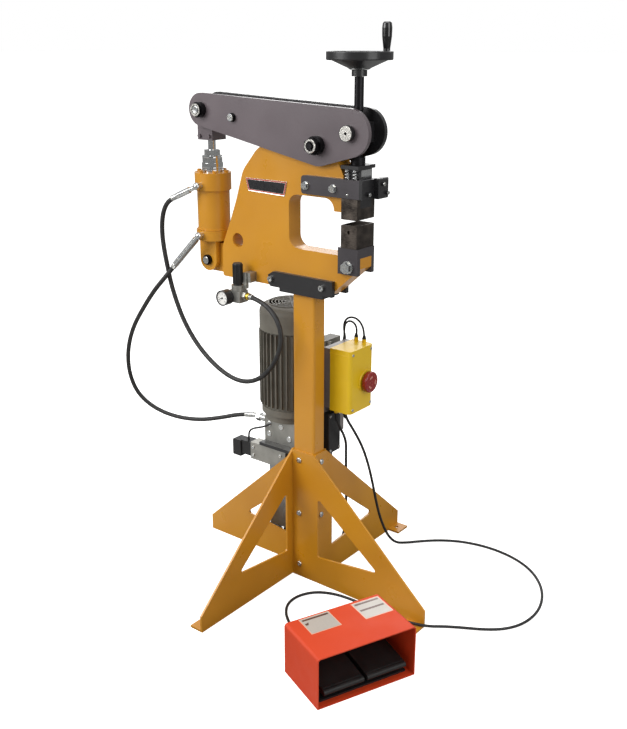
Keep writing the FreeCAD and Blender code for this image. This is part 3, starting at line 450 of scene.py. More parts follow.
beads = bmesh.new()
column_low, column_high = limits("column_tube")
top = column_high.z - 1.5
corners = [(column_low.x + 5, column_low.y), (column_high.x - 5, column_low.y),
           (column_high.x - 5, column_high.y), (column_low.x + 5, column_high.y)]
for first, second in ((0, 1), (2, 3)):
    weld_bead(beads, (*corners[first], top), (*corners[second], top))
for x in (column_low.x, column_high.x):
    weld_bead(beads, (x, column_low.y + 6, top), (x, column_high.y - 6, top))
lug_x = -297.5
lug_half = 13.5
for side in (-1, 1):
    weld_bead(beads, (lug_x, side * lug_half, 906), (lug_x, side * lug_half, 978), 3.0)
finish_mesh(beads, "weld_beads", gold_coat, "stand", smooth=80)


# Black steel parts. Bars, guide, ram and handwheel are mild steel in a satin black powder coat;
# the lever's near plate wears a warmer charcoal coat, and its far plate gets the satin black as painted
# shade.
satin_black = powder_coat("satin_black_powder_coat", "#151416", "#201F21", 0.38)
charcoal = powder_coat("warm_charcoal_powder_coat", "#564D51", "#62585C", 0.36)
plate_grey = powder_coat("guide_charcoal_coat", "#373336", "#423D41", 0.36)
coat(charcoal, "lever_plate_near", "rod_yoke")
# Painted shade: the lever's far plate is drawn in the satin black, darker than the near plate's charcoal,
# for the shadow it lies in.
coat(satin_black, "lever_plate_far", "column_cap_plate", "clamp_bars", "guide_front_block",
     "ram_block", "trunnion_nut", "handwheel", "power_unit_bracket")
coat(plate_grey, "guide_arms", "lower_die_holder")


# Pivots of the lever and cylinder. Turned pins with black oxide collars and nuts, pressed into
# their plates; the faced ends stay bright, and a lathe centre shows in the front one.
def turned_steel():
    """A faced bar end: bright steel with rings from the lathe tool, drawn 0.8 mm apart."""
    made, tree, shader = new_material("lathe_faced_steel", {"Metallic": 1.0})
    tree.links.new(mix_colour(tree, noise_of(tree, 5), "#C9C7C2", "#E2DFD8"),
                   shader.inputs["Base Color"])
    place = add(tree, "TexCoord")
    rings = add(tree, "TexWave", {"Scale": 314 / 0.8, "wave_type": "RINGS",
                "rings_direction": "Y", "Distortion": 0.3}, Vector=place.outputs["Object"])
    tree.links.new(spread(tree, noise_of(tree, 3), 0.2, 0.34), shader.inputs["Roughness"])
    bump(tree, shader, rings.outputs["Fac"], 0.03, 0.5)
    return made


def black_oxide():
    """Black oxide over machined steel: dark, half metallic, oil sheen."""
    made, tree, shader = new_material("black_oxide_steel", {"Metallic": 0.85})
    dress(tree, shader, mix_colour(tree, noise_of(tree, 12), "#1E1D1F", "#2C2B2D"),
          spread(tree, noise_of(tree, 4), 0.28, 0.44))
    bump(tree, shader, noise_of(tree, 1.2), 0.03, 0.4)
    return made


def spun(name, profile, start, way, steps, coating, body, smooth=35):
    """One lathe turned piece."""
    builder = bmesh.new()
    lathe(builder, profile, start, way, steps)
    return finish_mesh(builder, name, coating, body, smooth)


faced_steel = turned_steel()
oxide = black_oxide()
coat(oxide, "frame_pins", "lever_pins", "spindle_foot")
front_pivot = (158, 1323)
rear_pivot = (-350, 1360)
spacer_bolt = (-231, 1344)
fulcrum = (60, 1288)
base_pin = (-351, 933)
pin_trim = (
    # Name, finish, body, slot, place, distance from the middle plane, facets and profile.
    ("front_pivot_face", faced_steel, "trunnion", "zinc_plate", front_pivot, 56.5, 48,
     [(3.6, 0), (18.8, 0), (18.2, 0.6), (4.4, 0.6), (3.6, 0.2), (3.6, 0)]),
    ("rear_pivot_rim", faced_steel, "lever", "zinc_plate", rear_pivot, 64.1, 48,
     [(12.4, 0), (17.3, 0), (17.3, 0.7), (16.4, 1.4), (13.4, 1.4), (12.4, 0.7), (12.4, 0)]),
    ("rear_pivot_disc", zinc, "lever", "zinc_plate", rear_pivot, 64.1, 36,
     [(0, 0), (10.8, 0), (10.8, 0.6), (9.6, 1.2), (4.2, 0.8), (0, 0.5)]),
    ("spacer_bolt_face", zinc, "lever", "zinc_plate", spacer_bolt, 52.1, 36,
     [(0, 0), (10.0, 0), (10.0, 0.8), (9.0, 1.4), (0, 1.4)]),
    ("fulcrum_rim", faced_steel, "stand", "zinc_plate", fulcrum, 74.1, 48,
     [(12.6, 0), (17.6, 0), (17.1, 0.7), (13.2, 0.7), (12.6, 0)]),
    ("fulcrum_stub", oxide, "stand", "zinc_plate", fulcrum, 64.1, 6,
     [(0, 0), (8.6, 0), (8.6, 12.2), (7.6, 13.2), (0, 13.2)]),
    ("base_pin_face", zinc, "stand", "zinc_plate", base_pin, 42.0, 36,
     [(0, 0), (10.5, 0), (10.5, 0.3), (9.4, 0.9), (0, 0.9)]))
for name, finish, body, slot, (x, z), reach, facets, outline in pin_trim:
    for side, word in ((-1, "near"), (1, "far")):
        spun(f"{name}_{word}", outline, (x, side * reach, z), (0, side, 0), facets, finish, body,
             25)


# Dies. Hardened tool steel, ground on the faces and browned by oil; the gripping faces carry rows
# of fine teeth. The lower die sits in its holder and the upper one on the ram.
def at(x, y, z):
    """The matrix of a place in millimetres."""
    return Matrix.Translation(Vector((x, y, z)) / 1000)


def turned(degrees, axis):
    """The matrix of a turn about one axis."""
    return Matrix.Rotation(math.radians(degrees), 4, axis)


def rod(builder, place, radius, length, sides):
    """Adds a round bar along Z in millimetres where a matrix puts it."""
    bar = bmesh.ops.create_cone(builder, cap_ends=True, segments=sides, radius1=radius / 1000,
                                radius2=radius / 1000, depth=length / 1000)
    bmesh.ops.transform(builder, matrix=place, verts=bar["verts"])


def ground_tool_steel():
    """Ground steel, brown grey from oil: grinding lines drawn 1.2 mm apart, pale worn blotches."""
    made, tree, shader = new_material("ground_oiled_tool_steel", {"Metallic": 1.0})
    wear = noise_of(tree, 26, 4.0)
    lines = noise_of(tree, 1.2, 2.0, (0.15, 1, 1))
    tone = mix_colour(tree, spread(tree, wear, 0, 1, 0.4, 0.7), "#332E2C", "#5C544E")
    dress(tree, shader, mix_colour(tree, spread(tree, lines, 0, 0.4), tone, "#766E66"),
          spread(tree, wear, 0.3, 0.52))
    bump(tree, shader, lines, 0.05, 0.6)
    return made


die_steel = ground_tool_steel()
coat(die_steel, "lower_die", "upper_die")
tooth_rows = 24
tooth_size = 1.0
for node, body, up in (("lower_die", "stand", 1), ("upper_die", "ram", -1)):
    low, high = limits(node)
    face = (high.z if up > 0 else low.z) - up * 0.3
    builder = bmesh.new()
    for k in range(tooth_rows):
        x = low.x + 4 + (high.x - low.x - 8) * k / (tooth_rows - 1)
        lay = turned(0 if up > 0 else 180, "Y") @ turned(90, "X")
        rod(builder, at(x, (low.y + high.y) / 2, face) @ lay, tooth_size, high.y - low.y - 6, 3)
    finish_mesh(builder, node + "_teeth", die_steel, body, smooth=20)


# Stroke screw. Black oxide steel with a trapezoidal thread below and a plain neck above, drawn as
# rings 4 mm apart; it runs through the trunnion nut and turns with the handwheel.
screw_low, screw_high = limits("spindle_screw")
axis_x = (screw_low.x + screw_high.x) / 2
root = 9.8
crest = 11.9
pitch = 4
thread_end = 1372
outline = [(0, screw_low.z), (root, screw_low.z)]
level = screw_low.z + 2
while level < thread_end:
    outline += [(root, level), (crest, level + 0.9), (crest, level + 2.1), (root, level + 3.0)]
    level += pitch
outline += [(root, thread_end + 3), (crest, thread_end + 5), (crest, screw_high.z - 1),
            (0, screw_high.z - 1)]
spindle = spun("spindle_with_thread", outline, (axis_x, 0, 0), (0, 0, 1), 40, oxide, "spindle",
               30)
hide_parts("spindle_screw")


# Guide screws. Bright socket cap screws stand on the black heads of the guide's front, and a zinc
# oiling nipple fills the hole in each arm; a ground wear strip faces the ram over the guide.
def block(builder, place, size):
    """Adds a box of that size in millimetres where a matrix puts it; returns its corners."""
    cube = bmesh.ops.create_cube(builder, size=1)
    scale = Matrix.Diagonal((size[0] / 1000, size[1] / 1000, size[2] / 1000, 1))
    bmesh.ops.transform(builder, matrix=place @ scale, verts=cube["verts"])
    return cube["verts"]


def hard_chrome():
    """Hard chrome, ground and polished: a mirror with the faintest turning marks."""
    made, tree, shader = new_material("hard_chrome_plate", {"Metallic": 1.0})
    dress(tree, shader, mix_colour(tree, noise_of(tree, 30), "#D4D6D8", "#E4E4E3"),
          spread(tree, noise_of(tree, 8), 0.06, 0.14))
    bump(tree, shader, noise_of(tree, 2.0, 1.0, (0.2, 0.2, 3)), 0.01, 0.4)
    return made


chrome = hard_chrome()
socket_screw = [(0, 1.2), (2.0, 1.2), (2.0, 3.2), (4.2, 3.2), (4.8, 2.6), (4.8, 0), (0, 0)]
builder = bmesh.new()
for x, y, z in ((205, -14, 1172), (221, 28, 1196), (221, 46, 1172)):
    lathe(builder, socket_screw, (x, y, z), (1, 0, 0), 24)
finish_mesh(builder, "guide_cap_screws", zinc, "stand")
builder = bmesh.new()
for side in (-1, 1):
    lathe(builder, [(0, 0), (3.9, 0), (3.9, 3.4), (2.2, 5.4), (2.2, 6.6), (0, 7.2)],
          (152, side * 33.3, 1169), (0, side, 0), 24)
finish_mesh(builder, "oiling_nipples", zinc, "stand")
builder = bmesh.new()
block(builder, at(185, 0, 1221), (0.6, 46, 22))
finish_mesh(builder, "ram_wear_strip", chrome, "ram")


# Return springs. Four coils of bright round wire stand between the guide and the ram's collar.
def coil_spring(name, x, y, low, high, coil_radius, wire, turns):
    """A ground coil spring about a vertical axis, in millimetres, as a tube mesh along a helix."""
    steps = int(turns * 14)
    points = []
    for k in range(steps + 1):
        part = k / steps
        angle = 2 * math.pi * turns * part
        eased = min(1.0, max(0.0, (part - 0.1) / 0.8))
        points.append((x + coil_radius * math.cos(angle), y + coil_radius * math.sin(angle),
                       low + wire / 2 + (high - low - wire) * eased))
    maker = smooth_line(name, as_points(points), wire / 1000, 3)
    spring = as_piece(mesh_from(maker), name, zinc)
    bpy.data.objects.remove(maker)
    return spring


spring_low, spring_high = limits("return_springs")
spring_reach = 6.4
for k, x in enumerate((spring_low.x + spring_reach, spring_high.x - spring_reach)):
    for side, y in ((-1, spring_low.y + spring_reach), (1, spring_high.y - spring_reach)):
        spring = coil_spring(f"return_spring_{k}_{'near' if side < 0 else 'far'}", x, y, spring_low.z,
                             spring_high.z, 4.8, 3.2, 3.5)
        if k == 0 and side < 0:
            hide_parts("return_springs")
        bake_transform(spring)


# Handwheel trim. A bright zinc ring under the dished web is a painted reflection, the shine on the hub's
# edge; a plastic cap closes the hub, and the crank handle is a glossy black moulding that spins on its
# stud.
def moulded_gloss(name, deep, pale, gloss=0.18):
    """A glossy moulding: even colour, soft flow marks, almost mirror smooth."""
    made, tree, shader = new_material(name, {"Specular IOR Level": 0.5, "Coat Weight": 0.3,
                                      "Coat Roughness": 0.08})
    dress(tree, shader, mix_colour(tree, noise_of(tree, 15), deep, pale),
          spread(tree, noise_of(tree, 6), gloss - 0.04, gloss + 0.08))
    bump(tree, shader, noise_of(tree, 3), 0.02, 0.4)
    return made


gloss_black = moulded_gloss("glossy_black_phenolic", "#0C0C0D", "#161617")
coat(gloss_black, "handwheel_handle")
# Painted reflection: a zinc ring for the bright strip of shine on the hub's edge under the black web.
spun("handwheel_painted_reflection_ring", [(23.5, 0), (27.5, 2.0), (27.2, 2.9), (23.2, 0.9), (23.5, 0)],
     (axis_x, 0, 1473.2), (0, 0, 1), 64, zinc, "spindle")
spun("handwheel_hub_cap", [(0, 0), (10.5, 0), (10.5, 1.6), (9.0, 2.4), (0, 2.6)],
     (axis_x, 0, 1492), (0, 0, 1), 40, gloss_black, "spindle")


# Cylinder trim. Chromed gland and rod with turned bands, cap screws in the top flange and a ring at
# each weld of the barrel; the hoses' crimped ferrules are ribbed.
coat(chrome, "cylinder_gland", "piston_rod")
coat(zinc, "cylinder_fittings")
barrel_top = limits("cylinder_barrel")[1].z
cylinder_x = -351.0
bolt_ring = 42
builder = bmesh.new()
for k in range(6):
    angle = math.radians(60 * k + 20)
    x = cylinder_x + bolt_ring * math.cos(angle)
    y = bolt_ring * math.sin(angle)
    lathe(builder, [(0, 3.0), (3.2, 3.0), (3.2, 6.6), (5.6, 6.6), (6.2, 6.0), (6.2, 0), (0, 0)],
          (x, y, barrel_top), (0, 0, 1), 18)
finish_mesh(builder, "flange_cap_screws", gold_coat, "barrel")
builder = bmesh.new()
for z, radius in ((1190.0, 30.4), (1196.5, 30.4), (1226.0, 28.4)):
    lathe(builder, [(radius, 0), (radius + 0.8, 0.8), (radius + 0.8, 1.8), (radius, 2.6), (radius, 0)],
          (cylinder_x, 0, z), (0, 0, 1), 64)
finish_mesh(builder, "gland_bands", chrome, "barrel")
builder = bmesh.new()
for z in (1021, 1132):
    lathe(builder, [(46.9, 0), (48.6, 0.6), (48.6, 3.4), (46.9, 4), (46.9, 0)],
          (cylinder_x, 0, z), (0, 0, 1), 64)
finish_mesh(builder, "barrel_weld_rings", gold_coat, "barrel")


def ferrule(name, end, before, radius, length, body="stand"):
    """A crimped steel ferrule over the end of a hose: shallow ribs and a rolled lip."""
    outline = [(radius - 2.0, 0), (radius + 1.0, 0), (radius + 1.4, 0.8)]
    ribs = max(3, round(length / 5))
    for k in range(ribs):
        z = 1.5 + (length - 3) * k / ribs
        step = (length - 3) / ribs
        outline += [(radius + 1.4, z + 0.1 * step), (radius + 0.7, z + 0.35 * step),
                    (radius + 0.7, z + 0.65 * step), (radius + 1.4, z + 0.9 * step)]
    outline += [(radius + 1.0, length), (radius - 2.0, length), (radius - 2.0, 0)]
    spun(name, outline, end, Vector(before) - Vector(end), 32, zinc, body)


ferrule("air_hose_ferrule_top", air_route[0], air_route[1], 7.0, 22, "barrel")
ferrule("oil_hose_ferrule_top", oil_route[0], oil_route[1], 7.0, 12, "barrel")
ferrule("oil_hose_ferrule_low", oil_route[-1], oil_route[-2], 7.0, 34)
ferrule("air_hose_ferrule_low", air_route[-1], air_route[-2], 7.0, 6)


# Badge. A small keystone plate of pressed aluminium: bright frame, red border and a blank black
# field, held by adhesive on the frame's cheek.
def printed_tone(name, code, other, gloss):
    """Screen ink under lacquer: one tone with a slight mottle."""
    made, tree, shader = new_material(name, {"Coat Weight": 0.4, "Coat Roughness": 0.1})
    dress(tree, shader, mix_colour(tree, noise_of(tree, 6), code, other),
          spread(tree, noise_of(tree, 20), gloss, gloss + 0.1))
    return made


badge_low, badge_high = limits("badge_plate")
builder = bmesh.new()
keystone = [(badge_low.x + 1, 1184), (badge_low.x + 9.5, 1148.3), (badge_high.x - 9.5, 1144.5),
            (badge_high.x - 0.5, 1184)]
face = builder.faces.new([builder.verts.new(Vector((x, badge_high.y, z)) / 1000) for x, z in keystone])
bmesh.ops.recalc_face_normals(builder, faces=builder.faces)
if face.normal.y > 0:
    face.normal_flip()
solid = bmesh.ops.extrude_face_region(builder, geom=[face])
front = [f for f in solid["geom"] if isinstance(f, bmesh.types.BMFace)][0]
bmesh.ops.translate(builder, verts=front.verts[:], vec=(0, -0.0022, 0))
for index, width, depth in ((1, 0.0022, -0.0006), (2, 0.0042, 0.0), (3, 0.0009, 0.0003)):
    bmesh.ops.inset_individual(builder, faces=[front], thickness=width, depth=depth)
    front.material_index = index
badge = finish_mesh(builder, "badge", faced_steel, "stand", smooth=20, bevel=0.0004)
for ink in (printed_tone("badge_red_ink", "#B5392B", "#A93226", 0.25),
            printed_tone("badge_pale_line", "#D8D4CC", "#CBC7BF", 0.25),
            printed_tone("badge_black_ink", "#17171A", "#1F1F22", 0.22)):
    badge.data.materials.append(ink)
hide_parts("badge_plate")


# Motor. A finned aluminium shell in grey enamel, with a pressed steel fan cowl on top; the cowl's
# end is a grille of rings on ribs over the dark fan.
def grey_enamel():
    """Sprayed machine enamel over a sand casting: warm grey, fine cast grain."""
    made, tree, shader = new_material("warm_grey_machine_enamel", {"Specular IOR Level": 0.5})
    dirt = noise_of(tree, 40, 3.0)
    dress(tree, shader, mix_colour(tree, spread(tree, dirt, 0, 1), "#67635A", "#767268"),
          spread(tree, dirt, 0.36, 0.5))
    bump(tree, shader, noise_of(tree, 1.8), 0.12, 0.7)
    return made


enamel = grey_enamel()
coat(enamel, "motor_body")
cowl_low, cowl_high = limits("fan_cowl")
motor_x = (cowl_low.x + cowl_high.x) / 2
motor_y = (cowl_low.y + cowl_high.y) / 2
cowl_z = cowl_low.z
wall = 2.0
reach = (cowl_high.x - cowl_low.x) / 2
top = cowl_high.z - cowl_z
shoulder = top - 34
corner = 26
quarter = [math.radians(90 * k / 9) for k in range(1, 9)]
shell = [(reach, 0), (reach, shoulder)]
shell += [(reach - corner * (1 - math.cos(a)), shoulder + corner * math.sin(a)) for a in quarter]
shell += [(reach - 30, top - 7), (reach - 30, top - 7 - wall), (reach - 27, top - 8 - wall)]
shell += [(reach - wall - (corner - 1) * (1 - math.cos(a)), shoulder + (corner - wall) * math.sin(a))
          for a in reversed(quarter)]
shell += [(reach - wall, 0), (reach, 0)]
builder = bmesh.new()
lathe(builder, shell, (motor_x, motor_y, cowl_z), (0, 0, 1), 72)
ring_count = 7
grille_z = top - 8
for k in range(ring_count):
    radius = 8 + (reach - 36) * k / (ring_count - 1)
    lathe(builder, [(radius - 1.3, grille_z), (radius + 1.3, grille_z), (radius + 1.3, grille_z + 3),
                    (radius - 1.3, grille_z + 3), (radius - 1.3, grille_z)],
          (motor_x, motor_y, cowl_z), (0, 0, 1), 56)
rib_length = reach - 24
for k in range(6):
    place = at(motor_x, motor_y, cowl_z + grille_z + 1) @ turned(60 * k + 14, "Z")
    block(builder, place @ at(rib_length / 2, 0, 0), (rib_length, 3.4, 2.6))
cowl = finish_mesh(builder, "fan_cowl_with_grille", enamel, "stand", smooth=40)
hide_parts("fan_cowl")
builder = bmesh.new()
lathe(builder, [(0, 0), (16, 0), (16, 10), (0, 10)], (motor_x, motor_y, cowl_z + 48), (0, 0, 1), 24)
for k in range(9):
    place = at(motor_x, motor_y, cowl_z + 46) @ turned(40 * k, "Z") @ at(43, 0, 0)
    block(builder, place @ turned(28, "X"), (58, 2.2, 26))
finish_mesh(builder, "cooling_fan", gloss_black, "stand", smooth=30)
spun("cowl_floor", [(0, 0), (reach - 4, 0), (reach - 4, 3), (0, 3)],
     (motor_x, motor_y, cowl_z - 0.5), (0, 0, 1), 64, satin_black, "stand")


# Pump block and tank. A machined aluminium manifold with a black solenoid on its valve, over a
# drawn aluminium tank; socket plugs close the drillings.
def machined_alloy(name, deep, pale):
    """Milled aluminium: pale grey, cutter marks drawn 2.5 mm apart, light oil stains."""
    made, tree, shader = new_material(name, {"Metallic": 0.9})
    stain = noise_of(tree, 35, 3.0)
    marks = noise_of(tree, 2.5, 1.0, (1, 1, 0.2))
    dress(tree, shader, mix_colour(tree, spread(tree, stain, 0, 1), deep, pale),
          spread(tree, stain, 0.34, 0.5))
    bump(tree, shader, marks, 0.06, 0.5)
    return made


alloy = machined_alloy("milled_aluminium", "#96958F", "#B1AFA9")
tank_alloy = machined_alloy("drawn_aluminium_tank", "#8F969C", "#A9AEB2")
coat(alloy, "manifold_block", "regulator_body")
coat(tank_alloy, "oil_tank")


def moulded_plastic(name, deep, pale, gloss=0.45, grain=1.2):
    """A spark eroded moulding: matt, with an even fine grain."""
    made, tree, shader = new_material(name, {"Specular IOR Level": 0.45})
    dress(tree, shader, mix_colour(tree, noise_of(tree, 25), deep, pale),
          spread(tree, noise_of(tree, 10), gloss - 0.05, gloss + 0.08))
    bump(tree, shader, noise_of(tree, grain), 0.08, 0.6)
    return made


black_moulding = moulded_plastic("grained_black_nylon", "#161617", "#222223")
coat(black_moulding, "solenoid_coil", "capacitor_box", "mains_plug", "pedal_base")
wide_plug = [(0, 0.8), (4.2, 0.8), (4.2, 1.5), (8.5, 1.5), (9.5, 0.7), (9.5, -0.5), (0, -0.5)]
builder = bmesh.new()
for x, z in ((-208, 385), (-208, 418), (-128, 385), (-160, 418)):
    lathe(builder, wide_plug, (x, 65, z), (0, -1, 0), 24)
for y, z in ((150, 398), (140, 420)):
    lathe(builder, wide_plug, (-225, y, z), (-1, 0, 0), 24)
for x in (-260, -150):
    for z in (304, 330):
        lathe(builder, socket_screw, (x, 48, z), (0, -1, 0), 20)
finish_mesh(builder, "manifold_plugs", zinc, "stand")
spun("solenoid_nut", [(0, 0), (12.5, 0), (14, 1.5), (14, 3), (0, 3)],
     (-345, 65, 313), (-1, 0, 0), 32, black_moulding, "stand")


# Switch box. A vacuum formed yellow cover over a grey steel base, with a lip at its top, a flat
# ring round the red stop button, pan head screws and moulded grips where its cords come in.
def yellow_shell():
    """High impact yellow plastic: bright, half gloss, a light leather grain."""
    made, tree, shader = new_material("yellow_impact_plastic", {"Specular IOR Level": 0.5,
                                      "Coat Weight": 0.2, "Coat Roughness": 0.2})
    dress(tree, shader, mix_colour(tree, noise_of(tree, 60), "#DBB30E", "#E6C01A"),
          spread(tree, noise_of(tree, 30), 0.32, 0.42))
    bump(tree, shader, noise_of(tree, 1.6), 0.05, 0.6)
    return made


yellow_plastic = yellow_shell()
red_gloss = moulded_gloss("glossy_red_abs", "#7F140F", "#921B14", 0.22)
grey_plate = powder_coat("light_grey_plate_coat", "#77706F", "#857E7C", 0.4)
coat(yellow_plastic, "switch_box_cover")
coat(grey_plate, "switch_box_base", "box_bracket")
coat(red_gloss, "stop_button")
builder = bmesh.new()
block(builder, at(75, 102, 703), (73.2, 113.2, 3))
upright = [e for e in builder.edges if abs(e.verts[0].co.z - e.verts[1].co.z) > 0.002
           and e.verts[0].co.x > 0.1]
bmesh.ops.bevel(builder, geom=upright, offset=0.011, segments=5, affect="EDGES", profile=0.5, material=-1)
finish_mesh(builder, "cover_lip", yellow_plastic, "stand", smooth=40, bevel=0.0008)
spun("button_ring", [(16, 0), (34, 0), (34.6, 1.2), (33.4, 2.2), (16, 2.2), (16, 0)],
     (112, 123, 613), (1, 0, 0), 48, yellow_plastic, "stand")
builder = bmesh.new()
for k in range(3):
    place = at(134.2, 123, 613) @ turned(120 * k + 20, "X") @ at(0, 0, 16)
    block(builder, place, (1.2, 13, 5))
finish_mesh(builder, "button_marks", printed_tone("pale_button_mark", "#C98A7B", "#BF8072", 0.4),
            "stop_button", smooth=20, bevel=0.0003)
pan_screw = [(0, 0.6), (1.4, 0.6), (1.4, 1.8), (3.7, 1.8), (4.3, 1.0), (4.3, -0.4), (0, -0.4)]
builder = bmesh.new()
for x, ys, zs in ((112, (58, 146), (542, 706)), (36, (56, 100), (396, 504))):
    for y in ys:
        for z in zs:
            lathe(builder, pan_screw, (x, y, z), (1, 0, 0), 20)
finish_mesh(builder, "box_screws", zinc, "stand")


def cord_grip(name, end, way, cord_radius, seat_radius, length):
    """A moulded strain relief: a ribbed taper from its seat down to the cord."""
    steps = 7
    outline = [(cord_radius - 0.3, 0), (seat_radius, 0)]
    for k in range(steps):
        part = (k + 0.5) / steps
        radius = seat_radius + (cord_radius + 0.7 - seat_radius) * part
        z = length * part
        half = length / steps / 2
        outline += [(radius, z - half * 0.9), (radius, z + half * 0.3), (radius - 0.7, z + half * 0.45),
                    (radius - 0.7, z + half * 0.95)]
    outline += [(cord_radius - 0.3, length), (cord_radius - 0.3, 0)]
    spun(name, outline, end, way, 24, black_moulding, "stand", 25)


cord_grip("mains_strain_relief", (50, 66, 518), (0.03, 0.04, -1), 4.0, 7.2, 26)
cord_grip("pedal_cord_strain_relief", (60, 92, 518), (0.12, 0.1, -1), 4.0, 7.2, 24)
inlet = Vector(pedal_route[-1])
cord_grip("pedal_inlet_relief", inlet, Vector(pedal_route[-2]) - inlet, 4.0, 7.5, 24)
cord_grip("motor_lead_grip", (88, 145, 730), (0, 0, 1), 3.0, 6.5, 10)
cord_grip("control_lead_grip", (58, 148, 730), (0, 0, 1), 3.0, 6.5, 10)


# Air regulator. An aluminium body with a ribbed black knob, a brass collar at the hose and a dial
# gauge with a white enamelled face in a black rim.
coat(satin_black, "pressure_gauge")
knob_low, knob_high = limits("regulator_knob")
knob_x = (knob_low.x + knob_high.x) / 2
knob_y = (knob_low.y + knob_high.y) / 2
builder = bmesh.new()
knob_height = knob_high.z - knob_low.z
knob_radius = 13.6
lathe(builder, [(0, 0), (knob_radius, 0), (knob_radius, knob_height - 3), (12.2, knob_height),
                (0, knob_height)], (knob_x, knob_y, knob_low.z), (0, 0, 1), 48)
rib_count = 20
for k in range(rib_count):
    place = at(knob_x, knob_y, knob_low.z + knob_height / 2) @ turned(360 * k / rib_count, "Z")
    block(builder, place @ at(knob_radius, 0, 0), (2.4, 2.2, knob_height - 8))
knob = finish_mesh(builder, "ribbed_regulator_knob", black_moulding, "regulator_knob",
                   smooth=30)
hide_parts("regulator_knob")
spun("hose_collar", [(8.05, 0.5), (9.6, 0.5), (9.9, 1.5), (9.9, 8.5), (9.2, 9.5), (8.05, 9.5),
                     (8.05, 0.5)], (-175.5, -60, 856), (1, 0, 0), 32, brass, "stand")
gauge_low, gauge_high = limits("pressure_gauge")
gauge_x = (gauge_low.x + gauge_high.x) / 2
gauge_z = (gauge_low.z + gauge_high.z) / 2
gauge_face = gauge_low.y


def white_enamel():
    """A stove enamelled dial: soft white."""
    made, tree, shader = new_material("white_dial_enamel", {"Coat Weight": 0.5, "Coat Roughness": 0.05})
    dress(tree, shader, mix_colour(tree, noise_of(tree, 30), "#E9E7E1", "#F3F2EE"),
          spread(tree, noise_of(tree, 10), 0.3, 0.4))
    return made


spun("gauge_dial", [(0, 0), (19.2, 0), (19.2, 0.5), (0, 0.5)],
     (gauge_x, gauge_face, gauge_z), (0, -1, 0), 48, white_enamel(), "stand")
spun("gauge_bezel", [(19.0, 0), (22.4, 0), (22.4, 2.6), (21.2, 3.4), (19.6, 3.0), (19.0, 1.2), (19.0, 0)],
     (gauge_x, gauge_face, gauge_z), (0, -1, 0), 48, satin_black, "stand")
dial_ink = printed_tone("black_dial_ink", "#161618", "#202022", 0.4)
builder = bmesh.new()
ticks = 25
tick_ring = 17.6
number_ring = 11.6
dial_start = -135
for k in range(ticks):
    place = at(gauge_x, gauge_face - 0.55, gauge_z) @ turned(dial_start + 270 * k / (ticks - 1), "Y")
    long, wide = (2.0, 0.6) if k % 4 else (3.4, 0.9)
    block(builder, place @ at(0, 0, tick_ring - long / 2), (wide, 0.3, long))
needle = bmesh.ops.create_cone(builder, cap_ends=True, segments=4, radius1=0.0014, radius2=0.0003,
                               depth=0.017)
place = at(gauge_x, gauge_face - 1.4, gauge_z) @ turned(-112, "Y") @ at(0, 0, 6)
bmesh.ops.transform(builder, matrix=place @ Matrix.Diagonal((1, 0.35, 1, 1)), verts=needle["verts"])
lathe(builder, [(0, 0), (2.4, 0), (2.4, 1.6), (0, 2.0)], (gauge_x, gauge_face - 0.4, gauge_z),
      (0, -1, 0), 20)
finish_mesh(builder, "gauge_ticks_and_needle", dial_ink, "stand", smooth=20)
for k in range(7):
    angle = math.radians(dial_start + 45 * k)
    text = bpy.data.curves.new("dial_number", "FONT")
    text.body = str(k * 2)
    text.size = 0.0042
    text.align_x = "CENTER"
    text.align_y = "CENTER"
    text.extrude = 0.00012
    maker = bpy.data.objects.new("dial_number", text)
    bpy.context.scene.collection.objects.link(maker)
    mesh = mesh_from(maker)
    bpy.data.objects.remove(maker)
    mesh.transform(at(gauge_x + number_ring * math.sin(angle), gauge_face - 0.62,
                      gauge_z + number_ring * math.cos(angle)) @ turned(90, "X"))
    mesh.materials.clear()
    mesh.materials.append(dial_ink)
    digit = bpy.data.objects.new(f"dial_number_{k}", mesh)
    bpy.context.scene.collection.objects.link(digit)
    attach(digit, "stand")


# Foot pedal. A folded steel guard in orange powder coat over a black base; two black treadles with
# moulded rubber tops and rounded noses, and two pale printed labels with dark bars.
orange_coat = powder_coat("orange_powder_coat", "#C4360C", "#CF4012", 0.58, lacquer=0.0)
coat(orange_coat, "pedal_guard")
pedal_turn = at(383, -321, 0) @ turned(-23, "Z")
guard_top = limits("pedal_guard")[1].z


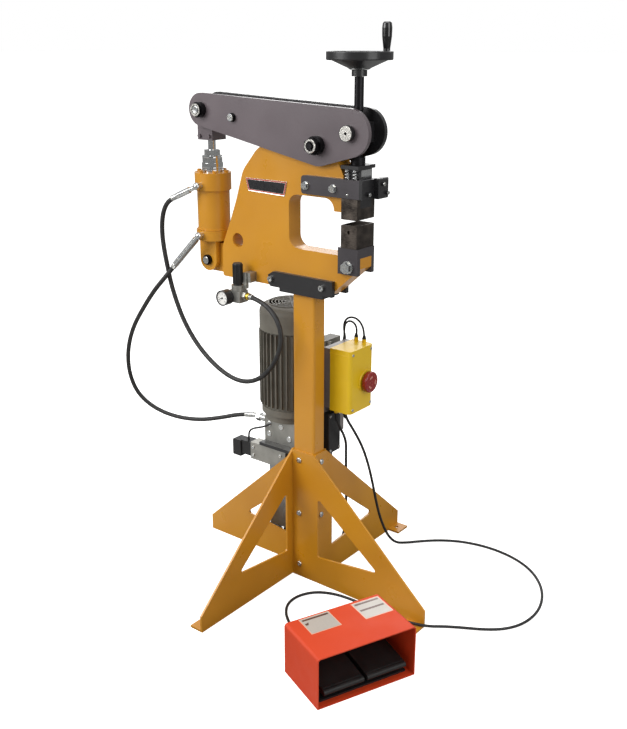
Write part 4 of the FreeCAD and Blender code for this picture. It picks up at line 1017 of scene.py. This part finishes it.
def tread_rubber():
    """Moulded black rubber: dull, slightly grey on top where shoes rub."""
    made, tree, shader = new_material("moulded_black_tread_rubber", {"Specular IOR Level": 0.4})
    rub = noise_of(tree, 30, 3.0)
    dress(tree, shader, mix_colour(tree, spread(tree, rub, 0, 1), "#141414", "#1F1E1D"),
          spread(tree, rub, 0.45, 0.62))
    bump(tree, shader, noise_of(tree, 1.5), 0.1, 0.6)
    return made


tread = tread_rubber()
coat(tread, "treadle_left", "treadle_right")
for name, start in (("treadle_left", -120), ("treadle_right", 5)):
    builder = bmesh.new()
    middle = start + 57.5
    lay = turned(90, "X")
    for x, z in ((-30, 52.7), (66, 41.3)):
        flat = Matrix.Diagonal((1.4, 0.7, 1, 1))
        rod(builder, pedal_turn @ at(x, middle, z) @ lay @ flat, 1.6, 107, 10)
    rod(builder, pedal_turn @ at(73, middle, 33) @ lay, 6.6, 114.8, 24)
    finish_mesh(builder, name + "_beads", tread, name, smooth=50)

label_film = printed_tone("pale_label_film", "#A9A29A", "#B3ACA3", 0.35)
label_bar = printed_tone("dark_label_bar", "#4A2A20", "#553228", 0.35)
label_edge = printed_tone("label_edge_line", "#E2A98C", "#DCA284", 0.35)
for name, low, high, bars in (("label_left", (-81.5, -105), (-11, -17.5), ((-75.5, 6.5),)),
                              ("label_right", (-78, 48.5), (-1.7, 132.5), ((-71.5, 7), (-43, 7)))):
    builder = bmesh.new()
    slabs = [(low, high, 0.25, 2), ((low[0] + 2, low[1] + 2), (high[0] - 2, high[1] - 2), 0.4, 0)]
    slabs += [((x, low[1] + 6), (x + deep, high[1] - 6), 0.55, 1) for x, deep in bars]
    if name == "label_left":
        slabs += [((-58, -99), (-50, -91), 0.55, 1), ((-60, -92), (-56, -88), 0.55, 1)]
    for near, far, thick, index in slabs:
        middle = at((near[0] + far[0]) / 2, (near[1] + far[1]) / 2, guard_top + thick / 2)
        slab = block(builder, pedal_turn @ middle, (far[0] - near[0], far[1] - near[1], thick))
        for face in {face for corner in slab for face in corner.link_faces}:
            face.material_index = index
    label = finish_mesh(builder, name, label_film, "stand", smooth=20)
    label.data.materials.append(label_bar)
    label.data.materials.append(label_edge)
